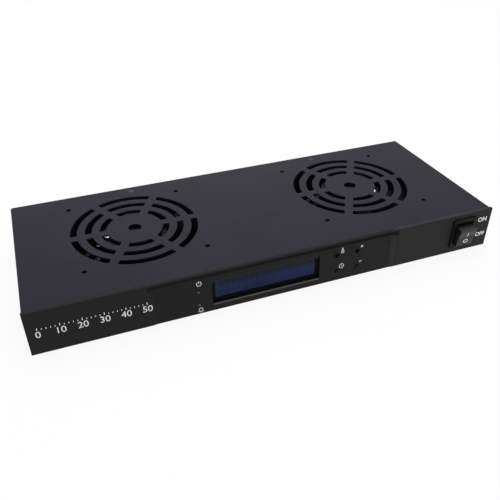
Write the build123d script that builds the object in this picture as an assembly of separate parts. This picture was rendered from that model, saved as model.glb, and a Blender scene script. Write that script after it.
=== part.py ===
from build123d import *

import os
from math import cos, radians, sin, sqrt

# Rack fan tray, millimetres. X runs along the front, Y from the front to the back, Z up.
# The origin is the middle of the base's underside.

# Case
chassis_width = 429.4
fascia_overhang = 0.3
control_bay = 101.6
fan_front_space = 30.8
fan_back_space = 16.8
sheet = 1.5
bend_inside = 0.8
sheet_play = 0.1
cover_lift = 0.3
corner_relief = 6.0
base_side_height = 14.0
base_lip_depth = 13.0
wall_opening_play = 1.0
rear_opening_play = 0.25
cut_past = 1.0

# Fans
fan_size = 119.4
fan_height = 38.0
fan_top_gap = 0.2
fan_hole_inset = 7.2
fan_hole_bore = 4.5
fan_corner_radius = 4.0
fan_flange = 4.5
fan_duct_edge = 2.0
fan_duct_wall = 2.2
motor_plate_size = 62.0
motor_plate_thick = 3.0
strut_overlap = 2.0
strut_width = 5.0
strut_height = 3.6
strut_count = 4
strut_turn = 45.0
bearing_tube_size = 13.0
bearing_tube_gap = 0.8
bearing_size = 10.0
bearing_length = 4.5
bearing_floor = 1.0
shaft_size = 4.0
shaft_edge = 0.3
shaft_floor_gap = 0.3
shaft_play = 0.03
seat_play = 0.02
stator_length = 12.0
stator_start = 10.0
stator_poles = 4
pole_width = 9.0
pole_length = 8.5
pole_shoe = 3.0
pole_gap = 4.0
pole_overlap = 1.0
core_hub_wall = 4.0
winding_wall = 2.6
winding_corner = 2.3
winding_play = 0.4
cage_gap = 0.4
cage_wall = 2.8
cage_length = 14.0
cup_wall = 1.3
cup_start = 7.5
cup_drop = 1.5
cup_edge = 1.0
cup_boss_size = 10.0
cup_boss_height = 3.4
impeller_hub_wall = 3.0
impeller_start = 7.0
impeller_drop = 2.0
impeller_lip = 5.0
impeller_edge_radius = 1.6
blade_count = 5
blade_tip_gap = 1.0
blade_tip_overrun = 2.0
blade_end_gap = 2.3
blade_mid_drop = 1.0
blade_root_pitch = 52.0
blade_tip_pitch = 31.0
blade_mid_ease = 2.0
blade_root_thick = 2.4
blade_tip_thick = 1.5
blade_camber = 0.09
blade_sweep = 10.0
blade_root_inset = 6.5
right_impeller_turn = 28.0

# Grilles
grille_rings = 3
grille_first_radius = 25.2
grille_edge_gap = 0.3
grille_slot_width = 6.1
grille_rib = 7.5
grille_rib_count = 6
grille_end_radius = 1.0
grille_hub_bore = 12.0

# Screws
small_thread = 3.0
small_head = 5.4
small_head_rise = 1.3
small_screw_length = 6.0
fan_thread = 4.0
fan_head = 7.2
fan_screw_length = 10.0
small_nut_flats = 5.5
small_nut_height = 2.4
nut_flats = 7.0
nut_height = 3.2
screw_play = 0.05
screw_end_gap = 0.5
drive_share = 0.6
drive_width = 0.7
drive_depth = 0.8
cover_screw_inset = 11.0
cover_screw_setback = 8.0
side_screw_height = 7.5
side_screw_front = 21.5
side_screw_back = 13.5

# Fascia
fascia_depth = 6.5
fascia_wall = 2.5
fascia_rim = 3.5
fascia_edge = 0.5
recess_left = -120.5
recess_right = 111.5
recess_lip = 1.0
recess_top_run = 6.0
recess_side_run = 5.0
recess_depth_top = 4.0
recess_depth_bottom = 1.0
recess_back_extra = 1.2
cut_margin = 0.01
fascia_screw_end = 16.7
fascia_screw_left = 11.5
fascia_screw_right = 20.5
fascia_boss = 7.0

# Display
display_x = -16.0
display_rise = -2.4
window_width = 100.0
window_height = 24.0
window_sill = 0.8
bezel_play = 0.3
bezel_wall = 0.8
bezel_frame = 3.3
bezel_setback = 4.6
glass_thick = 2.0
glass_margin = 1.6
front_board_setback = 13.0
board_thick = 1.6
front_board_side = 13.0
front_board_edge_gap = 4.1
front_board_rise = -1.0
spacer_size = 5.5
spacer_inset_x = 7.0
spacer_inset_z = 4.0

# Lights
light_x = -78.0
power_light_rise = 1.0
alarm_light_rise = -11.4
light_bore_play = 0.1
light_size = 3.0
light_flange = 3.8
light_flange_thick = 1.0
light_proud = 1.2
light_leg = 0.5
light_leg_pitch = 2.54
light_leg_past = 0.8

# Buttons
button_xs = (51.5, 72.0)
button_rises = (4.8, -11.1)
button_size = 3.5
button_edge = 0.3
button_play = 0.35
button_tip = 0.6
button_travel = 0.3
button_collar = 4.8
button_collar_thick = 0.8
button_collar_play = 0.05
switch_floor_gap = 0.3
switch_body_size = 6.0
switch_body_depth = 4.0
switch_wall = 0.6

# Rocker switch
rocker_end = 30.7
rocker_rise = 1.0
rocker_body_width = 22.0
rocker_body_height = 27.0
rocker_body_depth = 19.0
rocker_bezel_side = 1.75
rocker_bezel_end = 2.0
rocker_bezel_proud = 2.0
rocker_bezel_corner = 2.5
rocker_bezel_edge = 0.8
rocker_cutout_play = 0.2
rocker_wall = 1.75
rocker_well_depth = 8.0
rocker_side_play = 0.25
rocker_end_play = 2.0
rocker_throw = 24.0
rocker_pivot_depth = 2.0
rocker_tip_proud = 7.7
rocker_waist_proud = 7.0
rocker_tip_flat = 2.5
rocker_base_depth = 1.0
rocker_base_taper = 0.6
rocker_tip_radius = 1.0
rocker_pin_size = 3.0
rocker_pin_play = 0.05
rocker_pin_end_play = 0.05
terminal_pitch_x = 12.0
terminal_pitch_z = 13.0
terminal_width = 6.3
terminal_thick = 0.8
terminal_length = 8.0

# Control board
board_fan_gap = 4.8
board_front_gap = 37.5
board_depth = 84.0
board_rise = 6.0
board_inset = 5.0
standoff_size = 6.0
pan_head = 5.6
pan_head_height = 2.0
pan_head_edge = 0.7
pan_screw_length = 4.0
transformer_inset = 18.5
transformer_setback = 26.0
core_width = 34.0
core_depth = 14.0
core_height = 26.0
core_middle_limb = 8.0
core_outer_limb = 6.5
core_yoke = 3.5
winding_depth = 26.0
bobbin_corner = 1.5
relay_size = (16.0, 20.0, 15.5)
relay_corner = 1.0
relay_inset = 2.0
relay_gap = 2.0
relay_setback = 22.0
capacitor_inset = 24.0
capacitor_pitch = 14.0
capacitor_setback = 48.0
capacitor_size = 10.0
capacitor_height = 16.0
capacitor_edge = 0.8
terminal_block_setback = 16.0
terminal_block_depth = 10.0
terminal_block_height = 12.0
terminal_ways = 12
way_pitch = 5.0
way_bore = 3.2
way_depth = 3.0
way_bore_offset = 1.0
way_entry_low = 2.0
way_entry_high = 6.0
fuse_inset = 20.0
fuse_setback = 56.0
fuse_length = 20.0
fuse_size = 5.0
fuse_clip_size = (5.0, 7.0, 8.0)
fuse_clip_lip = 1.0

# Rear wall
inlet_x = 24.0
inlet_body_width = 27.0
inlet_body_height = 19.8
inlet_body_depth = 16.0
inlet_side_wall = 1.4
inlet_end_wall = 1.6
inlet_cavity_depth = 15.5
inlet_corner = 4.0
inlet_screw_offset = 6.5
inlet_flange_end = 4.0
inlet_flange_edge = 1.3
inlet_flange_corner = 3.0
inlet_flange_thick = 2.5
pin_width = 2.0
pin_height = 4.0
pin_spacing = 7.0
pin_drop = 1.6
earth_pin_rise = 2.6
pin_length = 13.5
pin_tail = 8.0
probe_x = -28.0
probe_thread = 8.0
probe_bore = 3.6
probe_length = 12.0
probe_end_wall = 2.0
probe_head_rim = 1.5
probe_head_thick = 2.0
probe_nut_rim = 1.0
probe_nut_height = 2.5

# Side inserts for rack ears
insert_front = 17.5
insert_pitch = 32.0
insert_rise = 2.0
insert_bore = 3.3
insert_size = 5.4
insert_collar = 8.0
insert_length = 6.0

# Derived places
tray_height = sheet + fan_height + fan_top_gap + sheet
mid_height = tray_height / 2
tray_depth = fan_front_space + fan_size + fan_back_space
front = -tray_depth / 2
back = tray_depth / 2
fascia_width = chassis_width + 2 * fascia_overhang
half_chassis = chassis_width / 2
half_base = half_chassis - sheet - sheet_play
cover_front = front + fascia_rim + sheet_play / 2
front_wall = front + fascia_depth + sheet_play
base_top = tray_height - sheet - sheet_play
fan_spacing = fan_size + control_bay
fan_y = front + fan_front_space + fan_size / 2
fan_centres = {"left": (-fan_spacing / 2, fan_y), "right": (fan_spacing / 2, fan_y)}
fan_hole_pitch = fan_size - 2 * fan_hole_inset
fan_duct_bore = fan_size - 2 * fan_duct_edge
grille_ring_pitch = (fan_duct_bore / 2 - grille_edge_gap - grille_slot_width
                     - grille_first_radius) / (grille_rings - 1)
side_screw_ys = (front + side_screw_front, fan_y, back - side_screw_back)
cover_screw_x = fan_spacing / 2 - cover_screw_inset
insert_ys = (front + insert_front, front + insert_front + insert_pitch)
insert_height = mid_height + insert_rise
impeller_top = fan_height - impeller_drop
cup_top = impeller_top - cup_drop
bearing_tube_top = cup_top - cup_wall - cup_boss_height - bearing_tube_gap
bearing_starts = (motor_plate_thick + bearing_floor, bearing_tube_top - bearing_length)
blade_rise = impeller_top - impeller_start - 2 * blade_end_gap
blade_mid_height = (impeller_top + impeller_start) / 2 - blade_mid_drop
stator_size = bearing_tube_size + 2 * (core_hub_wall + pole_length + pole_shoe)
cage_inner = stator_size / 2 + cage_gap
cage_outer = cage_inner + cage_wall
cup_outer = cage_outer + seat_play + cup_wall
hub_inner = cup_outer + seat_play
hub_outer = hub_inner + impeller_hub_wall
blade_tip = fan_duct_bore / 2 - blade_tip_gap
fascia_screw_xs = (fascia_screw_end - half_chassis, recess_left - fascia_screw_left,
                   recess_right + fascia_screw_right)
display_z = mid_height + display_rise
view_width = window_width - 2 * bezel_frame
view_height = window_height - 2 * bezel_frame
light_heights = (mid_height + power_light_rise, mid_height + alarm_light_rise)
button_heights = [mid_height + rise for rise in button_rises]
front_board_left = light_x - front_board_side
front_board_right = button_xs[-1] + front_board_side
front_board_z = mid_height + front_board_rise
front_board_height = tray_height - 2 * front_board_edge_gap
rocker_x = half_chassis - rocker_end
rocker_z = mid_height + rocker_rise
rocker_bezel_width = rocker_body_width + 2 * rocker_bezel_side
rocker_bezel_height = rocker_body_height + 2 * rocker_bezel_end
rocker_well_width = rocker_body_width - 2 * rocker_wall
rocker_well_height = rocker_body_height - 2 * rocker_wall
rocker_half_height = rocker_well_height / 2 - rocker_end_play
pivot_y = front + rocker_pivot_depth
board_right = control_bay / 2 - board_fan_gap
board_left = -board_right
board_front = front + board_front_gap
board_back = board_front + board_depth
board_top = sheet + board_rise + board_thick
transformer_x = board_left + transformer_inset
transformer_y = board_front + transformer_setback
core_window_inner = core_middle_limb / 2
core_window_outer = core_width / 2 - core_outer_limb
fuse_x = board_left + fuse_inset
fuse_y = board_front + fuse_setback
fuse_z = board_top + fuse_clip_size[2] - fuse_size / 2 - fuse_clip_lip
inlet_height = mid_height
inlet_screw_pitch = inlet_body_width + 2 * inlet_screw_offset
inlet_flange_width = inlet_screw_pitch + 2 * inlet_flange_end
inlet_flange_height = inlet_body_height + 2 * inlet_flange_edge
inlet_cavity_width = inlet_body_width - 2 * inlet_side_wall
inlet_cavity_height = inlet_body_height - 2 * inlet_end_wall
probe_height = mid_height


def save(shape, name):
    """Write one sub-part."""
    export_step(shape, f"parts/{name}.step")


def block(x0, x1, y0, y1, z0, z1):
    """Box between two corners."""
    return Pos((x0 + x1) / 2, (y0 + y1) / 2, (z0 + z1) / 2) * Box(x1 - x0, y1 - y0, z1 - z0)


def post(x, y, z0, z1, size):
    """Upright cylinder from z0 to z1."""
    return Pos(x, y, (z0 + z1) / 2) * Cylinder(size / 2, z1 - z0)


def along_y(x, z, y0, y1, size):
    """Cylinder that runs from front to back."""
    return Pos(x, (y0 + y1) / 2, z) * Rot(90, 0, 0) * Cylinder(size / 2, y1 - y0)


def along_x(y, z, x0, x1, size):
    """Cylinder that runs from left to right."""
    return Pos((x0 + x1) / 2, y, z) * Rot(0, 90, 0) * Cylinder(size / 2, x1 - x0)


def tube(x, y, z0, z1, outer, inner):
    """Upright ring."""
    return post(x, y, z0, z1, outer) - post(x, y, z0 - cut_past, z1 + cut_past, inner)


def bent_section(points):
    """Outline of a bent sheet: points run along its outer side, the sheet lies on their left."""
    inner = []
    for i, (x, y) in enumerate(points):
        normals = []
        for a, b in ((i - 1, i), (i, i + 1)):
            if 0 <= a and b < len(points):
                dx = points[b][0] - points[a][0]
                dy = points[b][1] - points[a][1]
                length = sqrt(dx * dx + dy * dy)
                normals.append((-dy / length, dx / length))
        nx = normals[0][0] if len(normals) == 1 else normals[0][0] + normals[1][0]
        ny = normals[0][1] if len(normals) == 1 else normals[0][1] + normals[1][1]
        inner.append((x + nx * sheet, y + ny * sheet))
    face = make_face(Polyline(*points, *reversed(inner), close=True))
    bends = points[1:-1]
    inner_bends = inner[1:-1]
    for places, radius in ((bends, bend_inside + sheet), (inner_bends, bend_inside)):
        for px, py in places:
            corner = face.vertices().sort_by_distance((px, py, 0))[0]
            face = fillet(corner, radius)
    return face


def countersink(size, head, rise, depth):
    """Cutter for a countersunk screw that points down from z = 0."""
    cone = Pos(0, 0, -rise / 2) * Cone(size / 2 + screw_play, head / 2 + screw_play, rise)
    return cone + Pos(0, 0, -depth / 2) * Cylinder(size / 2 + screw_play, depth)


def countersunk_screw(size, head, rise, length):
    """Countersunk screw whose head is flush with z = 0 and whose shank points down."""
    screw = Pos(0, 0, -rise / 2) * Cone(size / 2, head / 2, rise)
    screw += Pos(0, 0, -length / 2) * Cylinder(size / 2, length)
    for turn in (0, 90):
        slot = Pos(0, 0, -drive_depth / 2) * Box(head * drive_share, drive_width, drive_depth)
        screw -= Rot(0, 0, turn) * slot
    return screw


def pan_screw(size, length):
    """Pan head screw that stands on z = 0 with its shank pointing down."""
    head = Pos(0, 0, pan_head_height / 2) * Cylinder(pan_head / 2, pan_head_height)
    head = chamfer(head.edges().sort_by(Axis.Z)[-1], pan_head_edge)
    slot = Box(pan_head * drive_share, drive_width, drive_depth)
    slot = Pos(0, 0, pan_head_height - drive_depth / 2) * slot
    for turn in (0, 90):
        head -= Rot(0, 0, turn) * slot
    return head + Pos(0, 0, -length / 2) * Cylinder(size / 2, length)


def hex_nut(flats, height, bore):
    """Hexagon nut that stands on z = 0."""
    body = extrude(RegularPolygon(flats / 2, 6, major_radius=False), height)
    return body - Pos(0, 0, height / 2) * Cylinder(bore / 2, height + cut_past)


def grille_slots():
    """Arc slots of one round grille, and the hole in its middle."""
    ribs = Sketch()
    for i in range(grille_rib_count // 2):
        ribs += Rot(0, 0, i * 360 / grille_rib_count) * Rectangle(fan_size, grille_rib)
    slots = Circle(grille_hub_bore / 2)
    for ring in range(grille_rings):
        inner = grille_first_radius + ring * grille_ring_pitch
        band = Circle(inner + grille_slot_width) - Circle(inner) - ribs
        slots += fillet(band.vertices(), grille_end_radius)
    return slots


def fan_hole_places():
    """Corner holes of one fan, from its centre."""
    half = fan_hole_pitch / 2
    return [(-half, -half), (half, -half), (half, half), (-half, half)]


def side_screw_places():
    """Place and turn of each screw through the cover's sides."""
    places = []
    for y in side_screw_ys:
        places.append(Pos(half_chassis, y, side_screw_height) * Rot(0, 90, 0))
        places.append(Pos(-half_chassis, y, side_screw_height) * Rot(0, -90, 0))
    return places


def top_screw_places():
    """Place of each screw through the cover's back edge."""
    return [Pos(x, back - cover_screw_setback, tray_height) for x in (-cover_screw_x, cover_screw_x)]


def insert_places():
    """Place and turn of each threaded insert in the cover's sides."""
    places = []
    for y in insert_ys:
        places.append(Pos(half_chassis, y, insert_height) * Rot(0, 90, 0))
        places.append(Pos(-half_chassis, y, insert_height) * Rot(0, -90, 0))
    return places


def make_top_cover():
    """Folded cover: the top with both grilles, and the two sides."""
    outline = [(half_chassis, cover_lift), (half_chassis, tray_height),
               (-half_chassis, tray_height), (-half_chassis, cover_lift)]
    cover = extrude(Plane.XZ * bent_section(outline), -(back - cover_front))
    cover = Pos(0, cover_front, 0) * cover
    cutter = extrude(grille_slots(), 4 * sheet)
    for x, y in fan_centres.values():
        cover -= Pos(x, y, tray_height - 3 * sheet) * cutter
        for dx, dy in fan_hole_places():
            cover -= post(x + dx, y + dy, tray_height - 3 * sheet, tray_height + sheet, fan_hole_bore)
    sink = countersink(small_thread, small_head, small_head_rise, 3 * sheet)
    for place in side_screw_places() + top_screw_places():
        cover -= place * sink
    for place in insert_places():
        cover -= place * Cylinder(insert_size / 2 + seat_play, 4 * sheet)
    return cover


def screw_seats():
    """Tapped holes under every cover screw."""
    hole = Pos(0, 0, -small_screw_length) * Cylinder(small_thread / 2 + seat_play, 2 * small_screw_length)
    return [place * hole for place in side_screw_places() + top_screw_places()]


def fascia_screw_places():
    """Place of each screw that holds the fascia from behind the front wall."""
    return [(x, tray_height / 2) for x in fascia_screw_xs]


def front_openings():
    """Cut-outs of the base's front wall."""
    y0 = front_wall - sheet
    y1 = front_wall + 3 * sheet
    cuts = []
    for x, z, width, height in ((display_x, display_z, window_width, window_height),
                                (rocker_x, rocker_z, rocker_body_width, rocker_body_height)):
        half_x = width / 2 + wall_opening_play
        half_z = height / 2 + wall_opening_play
        cuts.append(block(x - half_x, x + half_x, y0, y1, z - half_z, z + half_z))
    for x in button_xs:
        for z in button_heights:
            cuts.append(along_y(x, z, y0, y1, button_size + 2 * button_play + wall_opening_play))
    for z in light_heights:
        cuts.append(along_y(light_x, z, y0, y1, light_flange + wall_opening_play))
    for x, z in fascia_screw_places():
        cuts.append(along_y(x, z, y0, y1, small_thread + 2 * screw_play))
    for x, z in board_spacer_places():
        cuts.append(along_y(x, z, y0, y1, small_thread + 2 * screw_play))
    return cuts


def board_spacer_places():
    """Spacers between the front wall and the front board."""
    reach = front_board_height / 2 - spacer_inset_z
    return [(x, z) for x in (front_board_left + spacer_inset_x, front_board_right - spacer_inset_x)
            for z in (front_board_z - reach, front_board_z + reach)]


def make_base_tray():
    """Folded base: bottom with both grilles, front and rear walls with lips, and side flanges."""
    outline = [(back - base_lip_depth, base_top), (back, base_top), (back, 0), (front_wall, 0),
               (front_wall, base_top), (front_wall + base_lip_depth, base_top)]
    section = bent_section(list(reversed(outline)))
    half_width = half_base - bend_inside - sheet
    base = Pos(half_width, 0, 0) * extrude(Plane.YZ * section, -2 * half_width)
    side = [(half_base - corner_relief - sheet, 0), (half_base, 0), (half_base, base_side_height)]
    flange = extrude(Plane.XZ * bent_section(side), -(back - front_wall - 2 * corner_relief))
    flange = Pos(0, front_wall + corner_relief, 0) * flange
    base += flange
    base += mirror(flange, Plane.YZ)
    cutter = extrude(grille_slots(), 4 * sheet)
    sink = Rot(180, 0, 0) * countersink(fan_thread, fan_head, small_head_rise, 3 * sheet)
    for x, y in fan_centres.values():
        base -= Pos(x, y, -sheet) * cutter
        for dx, dy in fan_hole_places():
            base -= Pos(x + dx, y + dy, 0) * sink
    board_sink = Rot(180, 0, 0) * countersink(small_thread, small_head, small_head_rise, 3 * sheet)
    for x, y in standoff_places():
        base -= Pos(x, y, 0) * board_sink
    for cut in screw_seats() + front_openings() + rear_openings():
        base -= cut
    return base


def rear_openings():
    """Cut-outs of the base's rear wall."""
    y0 = back - 2 * sheet
    y1 = back + sheet
    half_x = inlet_body_width / 2 + rear_opening_play
    half_z = inlet_body_height / 2 + rear_opening_play
    cuts = [block(inlet_x - half_x, inlet_x + half_x, y0, y1, inlet_height - half_z, inlet_height + half_z)]
    for side in (-1, 1):
        cuts.append(along_y(inlet_x + side * inlet_screw_pitch / 2, inlet_height, y0, y1,
                            small_thread + 2 * screw_play))
    cuts.append(along_y(probe_x, probe_height, y0, y1, probe_thread + 2 * screw_play))
    return cuts


def recess_cut(push, grow):
    """Space in front of the recess, pushed back and widened for the hollow behind it."""
    mouth_top = tray_height - recess_lip + grow
    floor_top = tray_height - recess_lip - recess_top_run + grow
    floor_end = -recess_top_run
    slope = (recess_depth_top - recess_depth_bottom) / floor_top
    depth_top = recess_depth_top + push
    depth_end = depth_top - slope * (floor_top - floor_end)
    left = recess_left - grow
    right = recess_right + grow
    run = recess_side_run
    y_mouth = front + push - cut_margin
    mouth = Polyline((left, y_mouth, floor_end), (right, y_mouth, floor_end), (right, y_mouth, mouth_top),
                     (left, y_mouth, mouth_top), close=True)
    floor = Polyline((left + run, front + depth_end, floor_end), (right - run, front + depth_end, floor_end),
                     (right - run, front + depth_top, floor_top), (left + run, front + depth_top, floor_top),
                     close=True)
    return loft([make_face(mouth), make_face(floor)], ruled=True)


def recess_face(z):
    """Depth of the recess's face at a height above the base's underside."""
    floor_top = tray_height - recess_lip - recess_top_run
    return recess_depth_bottom + (recess_depth_top - recess_depth_bottom) * z / floor_top


def make_fascia():
    """Moulded front: flush ends, a leaning recess between them, and a hollow back with bosses."""
    half = fascia_width / 2
    fascia = block(-half, half, front, front + fascia_rim, 0, tray_height)
    fascia = chamfer(fascia.faces().sort_by(Axis.Y)[0].edges(), fascia_edge)
    inner = half_chassis - sheet - sheet_play
    rear = block(-inner, inner, front + fascia_rim, front + fascia_depth, 0, tray_height - sheet - sheet_play)
    fascia += chamfer(rear.faces().sort_by(Axis.Z)[-1].edges().filter_by(Axis.Y), bend_inside)
    fascia -= recess_cut(0, 0)
    y0 = front - cut_past
    y1 = front + fascia_depth + cut_past
    hollow = block(-inner + fascia_wall, inner - fascia_wall, front + fascia_wall, y1,
                   fascia_wall, tray_height - sheet - sheet_play - fascia_wall)
    hollow -= recess_cut(fascia_wall, fascia_wall)
    hollow -= block(recess_left, recess_right, front, front + fascia_wall + recess_back_extra, 0, tray_height)
    wall_x = rocker_body_width / 2 + fascia_wall
    hollow -= block(rocker_x - wall_x, rocker_x + wall_x, front, y1 + cut_past, 0, tray_height)
    for x, z in fascia_screw_places():
        hollow -= along_y(x, z, front, y1 + cut_past, fascia_boss)
    fascia -= hollow
    fascia -= block(display_x - window_width / 2, display_x + window_width / 2, y0, y1,
                    display_z - window_height / 2, display_z + window_height / 2)
    sill = display_z - window_height / 2
    side = window_sill * sqrt(2)
    fascia -= Pos(display_x, front + recess_face(sill), sill) * Rot(45, 0, 0) * Box(window_width, side, side)
    for x in button_xs:
        for z in button_heights:
            fascia -= along_y(x, z, y0, y1, button_size + 2 * button_play)
    for z in light_heights:
        fascia -= along_y(light_x, z, y0, y1, light_size + 2 * light_bore_play)
        seat = front + recess_face(z) + fascia_wall / 2
        fascia -= along_y(light_x, z, seat, y1, light_flange + 2 * light_bore_play)
    fascia -= block(rocker_x - rocker_body_width / 2 - rocker_cutout_play,
                    rocker_x + rocker_body_width / 2 + rocker_cutout_play, y0, y1,
                    rocker_z - rocker_body_height / 2 - rocker_cutout_play,
                    rocker_z + rocker_body_height / 2 + rocker_cutout_play)
    for x, z in fascia_screw_places():
        fascia -= along_y(x, z, front + fascia_depth - fascia_boss / 2, y1, small_thread + 2 * seat_play)
    return fascia


def make_fascia_screws():
    """Pan head screws from behind the front wall into the fascia's bosses."""
    screw = Rot(-90, 0, 0) * pan_screw(small_thread, sheet + sheet_play + fascia_boss / 2 - screw_end_gap)
    return Compound([Pos(x, front_wall + sheet, z) * screw for x, z in fascia_screw_places()])


def make_cover_screws():
    """Countersunk screws of the cover."""
    screw = countersunk_screw(small_thread, small_head, small_head_rise, small_screw_length)
    return Compound([place * screw for place in side_screw_places() + top_screw_places()])


def make_ear_inserts():
    """Pressed-in threaded inserts that take the rack ears' screws."""
    barrel = Pos(0, 0, -insert_length / 2) * Cylinder(insert_size / 2, insert_length)
    collar_height = insert_length - sheet
    barrel += Pos(0, 0, -sheet - collar_height / 2) * Cylinder(insert_collar / 2, collar_height)
    barrel -= Pos(0, 0, -insert_length / 2) * Cylinder(insert_bore / 2, insert_length + cut_past)
    return Compound([place * barrel for place in insert_places()])


def make_fan_frame():
    """Cast fan frame, standing on z = 0: two square flanges, the duct, struts and bearing tube."""
    plate = extrude(RectangleRounded(fan_size, fan_size, fan_corner_radius), fan_flange)
    frame = plate + Pos(0, 0, fan_height - fan_flange) * plate
    duct_outer = fan_duct_bore / 2 + fan_duct_wall
    frame += post(0, 0, 0, fan_height, 2 * duct_outer)
    frame -= post(0, 0, -cut_past, fan_height + cut_past, fan_duct_bore)
    for dx, dy in fan_hole_places():
        frame -= post(dx, dy, -cut_past, fan_height + cut_past, fan_hole_bore)
    frame += post(0, 0, 0, motor_plate_thick, motor_plate_size)
    reach = fan_duct_bore / 2 + fan_duct_wall / 2
    for i in range(strut_count):
        strut = block(motor_plate_size / 2 - strut_overlap, reach, -strut_width / 2, strut_width / 2,
                      0, strut_height)
        frame += Rot(0, 0, strut_turn + i * 360 / strut_count) * strut
    frame += post(0, 0, motor_plate_thick, bearing_tube_top, bearing_tube_size)
    frame -= post(0, 0, motor_plate_thick, bearing_tube_top + cut_past, bearing_size + 2 * seat_play)
    return frame


def make_bearings():
    """Both bearings of a fan's shaft."""
    bore = shaft_size + 2 * shaft_play
    return Compound([tube(0, 0, z, z + bearing_length, bearing_size, bore) for z in bearing_starts])


def make_stator_core():
    """Laminated core with poles round the bearing tube."""
    core = Circle(bearing_tube_size / 2 + core_hub_wall)
    rim = Circle(stator_size / 2) - Circle(stator_size / 2 - pole_shoe)
    gap = Rectangle(stator_size, pole_gap)
    for i in range(stator_poles):
        turn = Rot(0, 0, i * 360 / stator_poles)
        core += turn * Pos(stator_size / 4, 0) * Rectangle(stator_size / 2 - pole_overlap, pole_width)
        rim -= turn * Rot(0, 0, 180 / stator_poles) * Pos(stator_size / 2, 0) * gap
    core += rim
    core -= Circle(bearing_tube_size / 2 + seat_play)
    return Pos(0, 0, stator_start) * extrude(core, stator_length)


def make_windings():
    """One coil round each pole of the stator."""
    inner = bearing_tube_size / 2 + core_hub_wall + winding_play
    width = pole_width / 2 + winding_wall
    shoe_inner = stator_size / 2 - pole_shoe
    outer = sqrt(shoe_inner * shoe_inner - width * width) - winding_play
    coils = []
    for i in range(stator_poles):
        coil = block(inner, outer, -width, width, stator_start - winding_wall,
                     stator_start + stator_length + winding_wall)
        coil = fillet(coil.edges().filter_by(Axis.X), winding_corner)
        pole = pole_width / 2 + seat_play
        coil -= block(inner - cut_past, outer + cut_past, -pole, pole,
                      stator_start - seat_play, stator_start + stator_length + seat_play)
        coils.append(Rot(0, 0, i * 360 / stator_poles) * coil)
    return Compound(coils)


def make_shaft():
    """Fan shaft, from the lower bearing into the cup's boss."""
    shaft = post(0, 0, motor_plate_thick + shaft_floor_gap, cup_top - cup_wall, shaft_size)
    return chamfer(shaft.edges().filter_by(GeomType.CIRCLE), shaft_edge)


def make_rotor_cage():
    """Ring of rotor laminations inside the cup."""
    middle = stator_start + stator_length / 2
    return tube(0, 0, middle - cage_length / 2, middle + cage_length / 2, 2 * cage_outer, 2 * cage_inner)


def make_rotor_cup():
    """Drawn steel cup with the boss that grips the shaft."""
    cup = post(0, 0, cup_start, cup_top, 2 * cup_outer)
    cup = chamfer(cup.edges().filter_by(GeomType.CIRCLE).sort_by(Axis.Z)[-1], cup_edge)
    cup -= post(0, 0, cup_start - cut_past, cup_top - cup_wall, 2 * (cage_outer + seat_play))
    cup += post(0, 0, cup_top - cup_wall - cup_boss_height, cup_top - cup_wall / 2, cup_boss_size)
    return cup - post(0, 0, cup_start, cup_top - cup_wall, shaft_size + 2 * seat_play)


def blade_section(radius, pitch, thick, turn):
    """Cambered section of a blade on a plane across the radius, as high as the blade's rise."""
    chord = blade_rise / sin(radians(pitch))
    rise = blade_camber * chord
    edge = thick / 3
    half = chord / 2
    upper = ThreePointArc((-half, edge / 2), (0, rise + thick / 2), (half, edge / 2))
    end = Line((half, edge / 2), (half, -edge / 2))
    lower = ThreePointArc((half, -edge / 2), (0, rise - thick / 2), (-half, -edge / 2))
    start = Line((-half, -edge / 2), (-half, edge / 2))
    a = radians(pitch)
    plane = Plane(origin=(radius, 0, blade_mid_height), x_dir=(0, cos(a), sin(a)), z_dir=(1, 0, 0))
    return Rot(0, 0, turn) * plane * make_face([upper, end, lower, start])


def make_impeller():
    """Impeller: hub ring with a lip over the cup, and pitched, swept blades."""
    hub = post(0, 0, impeller_start, impeller_top, 2 * hub_outer)
    hub = fillet(hub.edges().filter_by(GeomType.CIRCLE).sort_by(Axis.Z)[-1], impeller_edge_radius)
    root = hub_inner - blade_root_inset
    middle = (root + blade_tip) / 2
    pitch = (blade_root_pitch + blade_tip_pitch) / 2 - blade_mid_ease
    thick = (blade_root_thick + blade_tip_thick) / 2
    blade = loft([blade_section(root, blade_root_pitch, blade_root_thick, 0),
                  blade_section(middle, pitch, thick, blade_sweep / 2),
                  blade_section(blade_tip + blade_tip_overrun, blade_tip_pitch, blade_tip_thick,
                                blade_sweep)])
    blade = blade & post(0, 0, 0, fan_height, 2 * blade_tip)
    for i in range(blade_count):
        hub += Rot(0, 0, i * 360 / blade_count) * blade
    hub -= post(0, 0, 0, cup_top + seat_play, 2 * hub_inner)
    return hub - post(0, 0, 0, fan_height + cut_past, 2 * (hub_inner - impeller_lip))


def make_fan_screws():
    """Countersunk screws through the base into the fans' lower flanges."""
    screw = Rot(180, 0, 0) * countersunk_screw(fan_thread, fan_head, small_head_rise, fan_screw_length)
    return Compound([Pos(x + dx, y + dy, 0) * screw for x, y in fan_centres.values()
                     for dx, dy in fan_hole_places()])


def make_fan_nuts():
    """Nuts on the fans' lower flanges."""
    nut = hex_nut(nut_flats, nut_height, fan_thread + 2 * seat_play)
    return Compound([Pos(x + dx, y + dy, sheet + fan_flange) * nut for x, y in fan_centres.values()
                     for dx, dy in fan_hole_places()])


def display_shell(front_y, back_y, width, height):
    """Block in front of the display's centre."""
    return block(display_x - width / 2, display_x + width / 2, front_y, back_y,
                 display_z - height / 2, display_z + height / 2)


def make_display_bezel():
    """Sheet steel bezel that holds the display's glass to the front board."""
    width = window_width - 2 * bezel_play
    height = window_height - 2 * bezel_play
    y0 = front + bezel_setback
    y1 = front + front_board_setback
    bezel = display_shell(y0, y1, width, height)
    bezel -= display_shell(y0 + bezel_wall, y1 + cut_past, width - 2 * bezel_wall, height - 2 * bezel_wall)
    return bezel - display_shell(y0 - cut_past, y1, view_width, view_height)


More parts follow.
